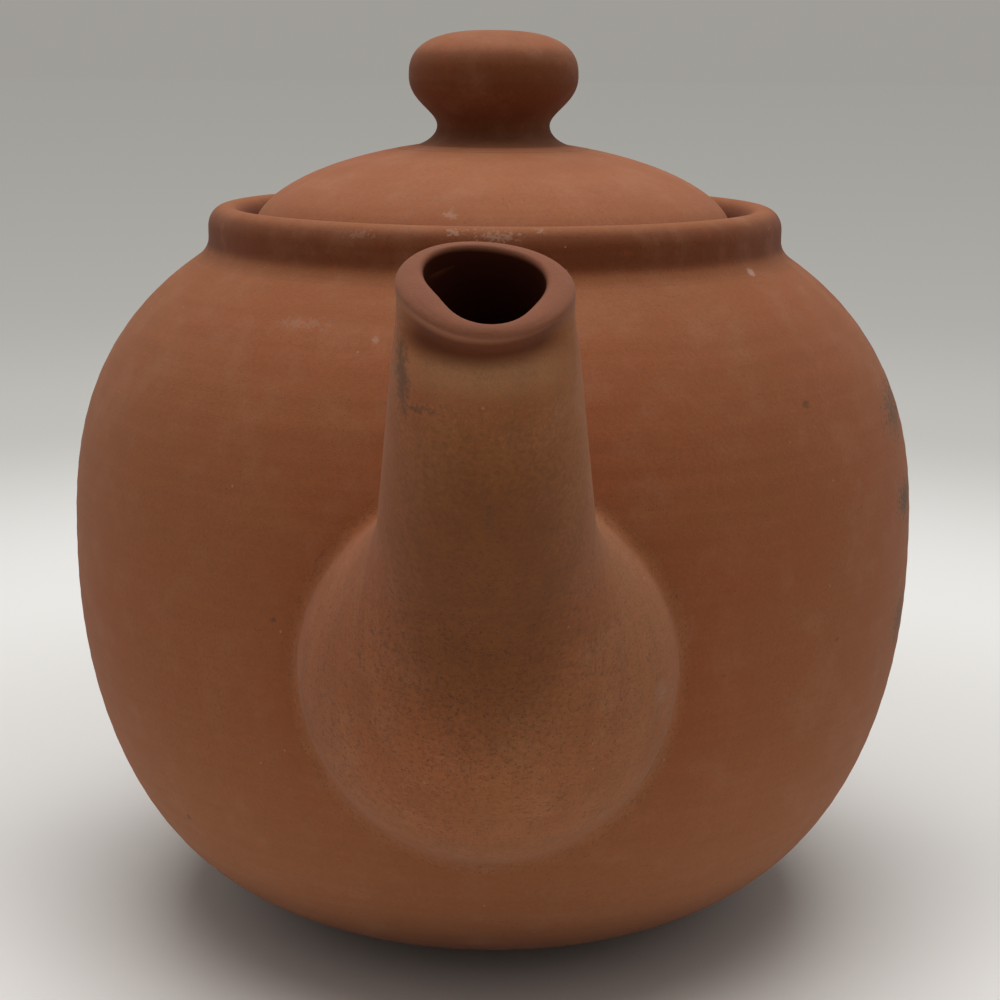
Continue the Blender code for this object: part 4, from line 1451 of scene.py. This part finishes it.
class TEAPOT_OT_lid(Operator):
    """Make the lid with its flange and knob"""

    bl_idname = "teapot.lid"
    bl_label = "Lid and knob"

    def execute(self, context):
        """Build the three pieces of the lid."""
        sizes = context.scene.teapot_lid
        lid_clay = clay("fired_lid_clay", "lid", LID_MARKS, dust_and_top_light=0.24)
        knob_clay = clay("fired_knob_clay", "knob", bands=KNOB_SHADE_BANDS, dust_and_top_light=0.24)
        pieces = [make_lid(sizes, lid_clay), make_flange(sizes, lid_clay),
                  make_knob(sizes, knob_clay)]
        for piece in pieces:
            piece.data.transform(Matrix.Translation((-sizes.offset, 0.0, 0.0)))
        return {"FINISHED"}


class TEAPOT_OT_stage(Operator):
    """Make the floor, the lamp and the camera"""

    bl_idname = "teapot.stage"
    bl_label = "Stage"

    def execute(self, context):
        """Set the stage."""
        make_stage(context.scene.teapot_stage)
        return {"FINISHED"}


class TEAPOT_PT_panel(Panel):
    """Sizes, colours and pieces of the teapot"""

    bl_label = "Terracotta teapot"
    bl_idname = "TEAPOT_PT_panel"
    bl_space_type = "VIEW_3D"
    bl_region_type = "UI"
    bl_category = "Teapot"

    def draw(self, context):
        """List each piece's button over its sizes."""
        layout = self.layout
        for operator, group in PANEL_ROWS:
            box = layout.box()
            if operator is not None:
                box.operator(operator.bl_idname)
            settings = getattr(context.scene, group)
            for name in settings.__annotations__:
                box.prop(settings, name)


GROUPS = (("teapot_clay", TeapotClay), ("teapot_belly", TeapotBelly),
          ("teapot_collar", TeapotCollar), ("teapot_spout", TeapotSpout),
          ("teapot_handle", TeapotHandle), ("teapot_lid", TeapotLid),
          ("teapot_stage", TeapotStage))
OPERATORS = (TEAPOT_OT_belly, TEAPOT_OT_collar_and_foot, TEAPOT_OT_spout, TEAPOT_OT_handle,
             TEAPOT_OT_lid, TEAPOT_OT_stage)
PANEL_ROWS = tuple(zip((None,) + OPERATORS, [name for name, _ in GROUPS]))


def register():
    """Add the settings, operators and panel to Blender."""
    for name, group in GROUPS:
        bpy.utils.register_class(group)
        setattr(bpy.types.Scene, name, PointerProperty(type=group))
    for operator in OPERATORS:
        bpy.utils.register_class(operator)
    bpy.utils.register_class(TEAPOT_PT_panel)


def unregister():
    """Take the settings, operators and panel out of Blender."""
    bpy.utils.unregister_class(TEAPOT_PT_panel)
    for operator in reversed(OPERATORS):
        bpy.utils.unregister_class(operator)
    for name, group in reversed(GROUPS):
        delattr(bpy.types.Scene, name)
        bpy.utils.unregister_class(group)


def main():
    """Make every piece and the stage."""
    register()
    bpy.ops.teapot.belly()
    bpy.ops.teapot.collar_and_foot()
    bpy.ops.teapot.spout()
    bpy.ops.teapot.handle()
    bpy.ops.teapot.lid()
    bpy.ops.teapot.stage()
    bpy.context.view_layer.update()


if __name__ == "__main__":
    main()
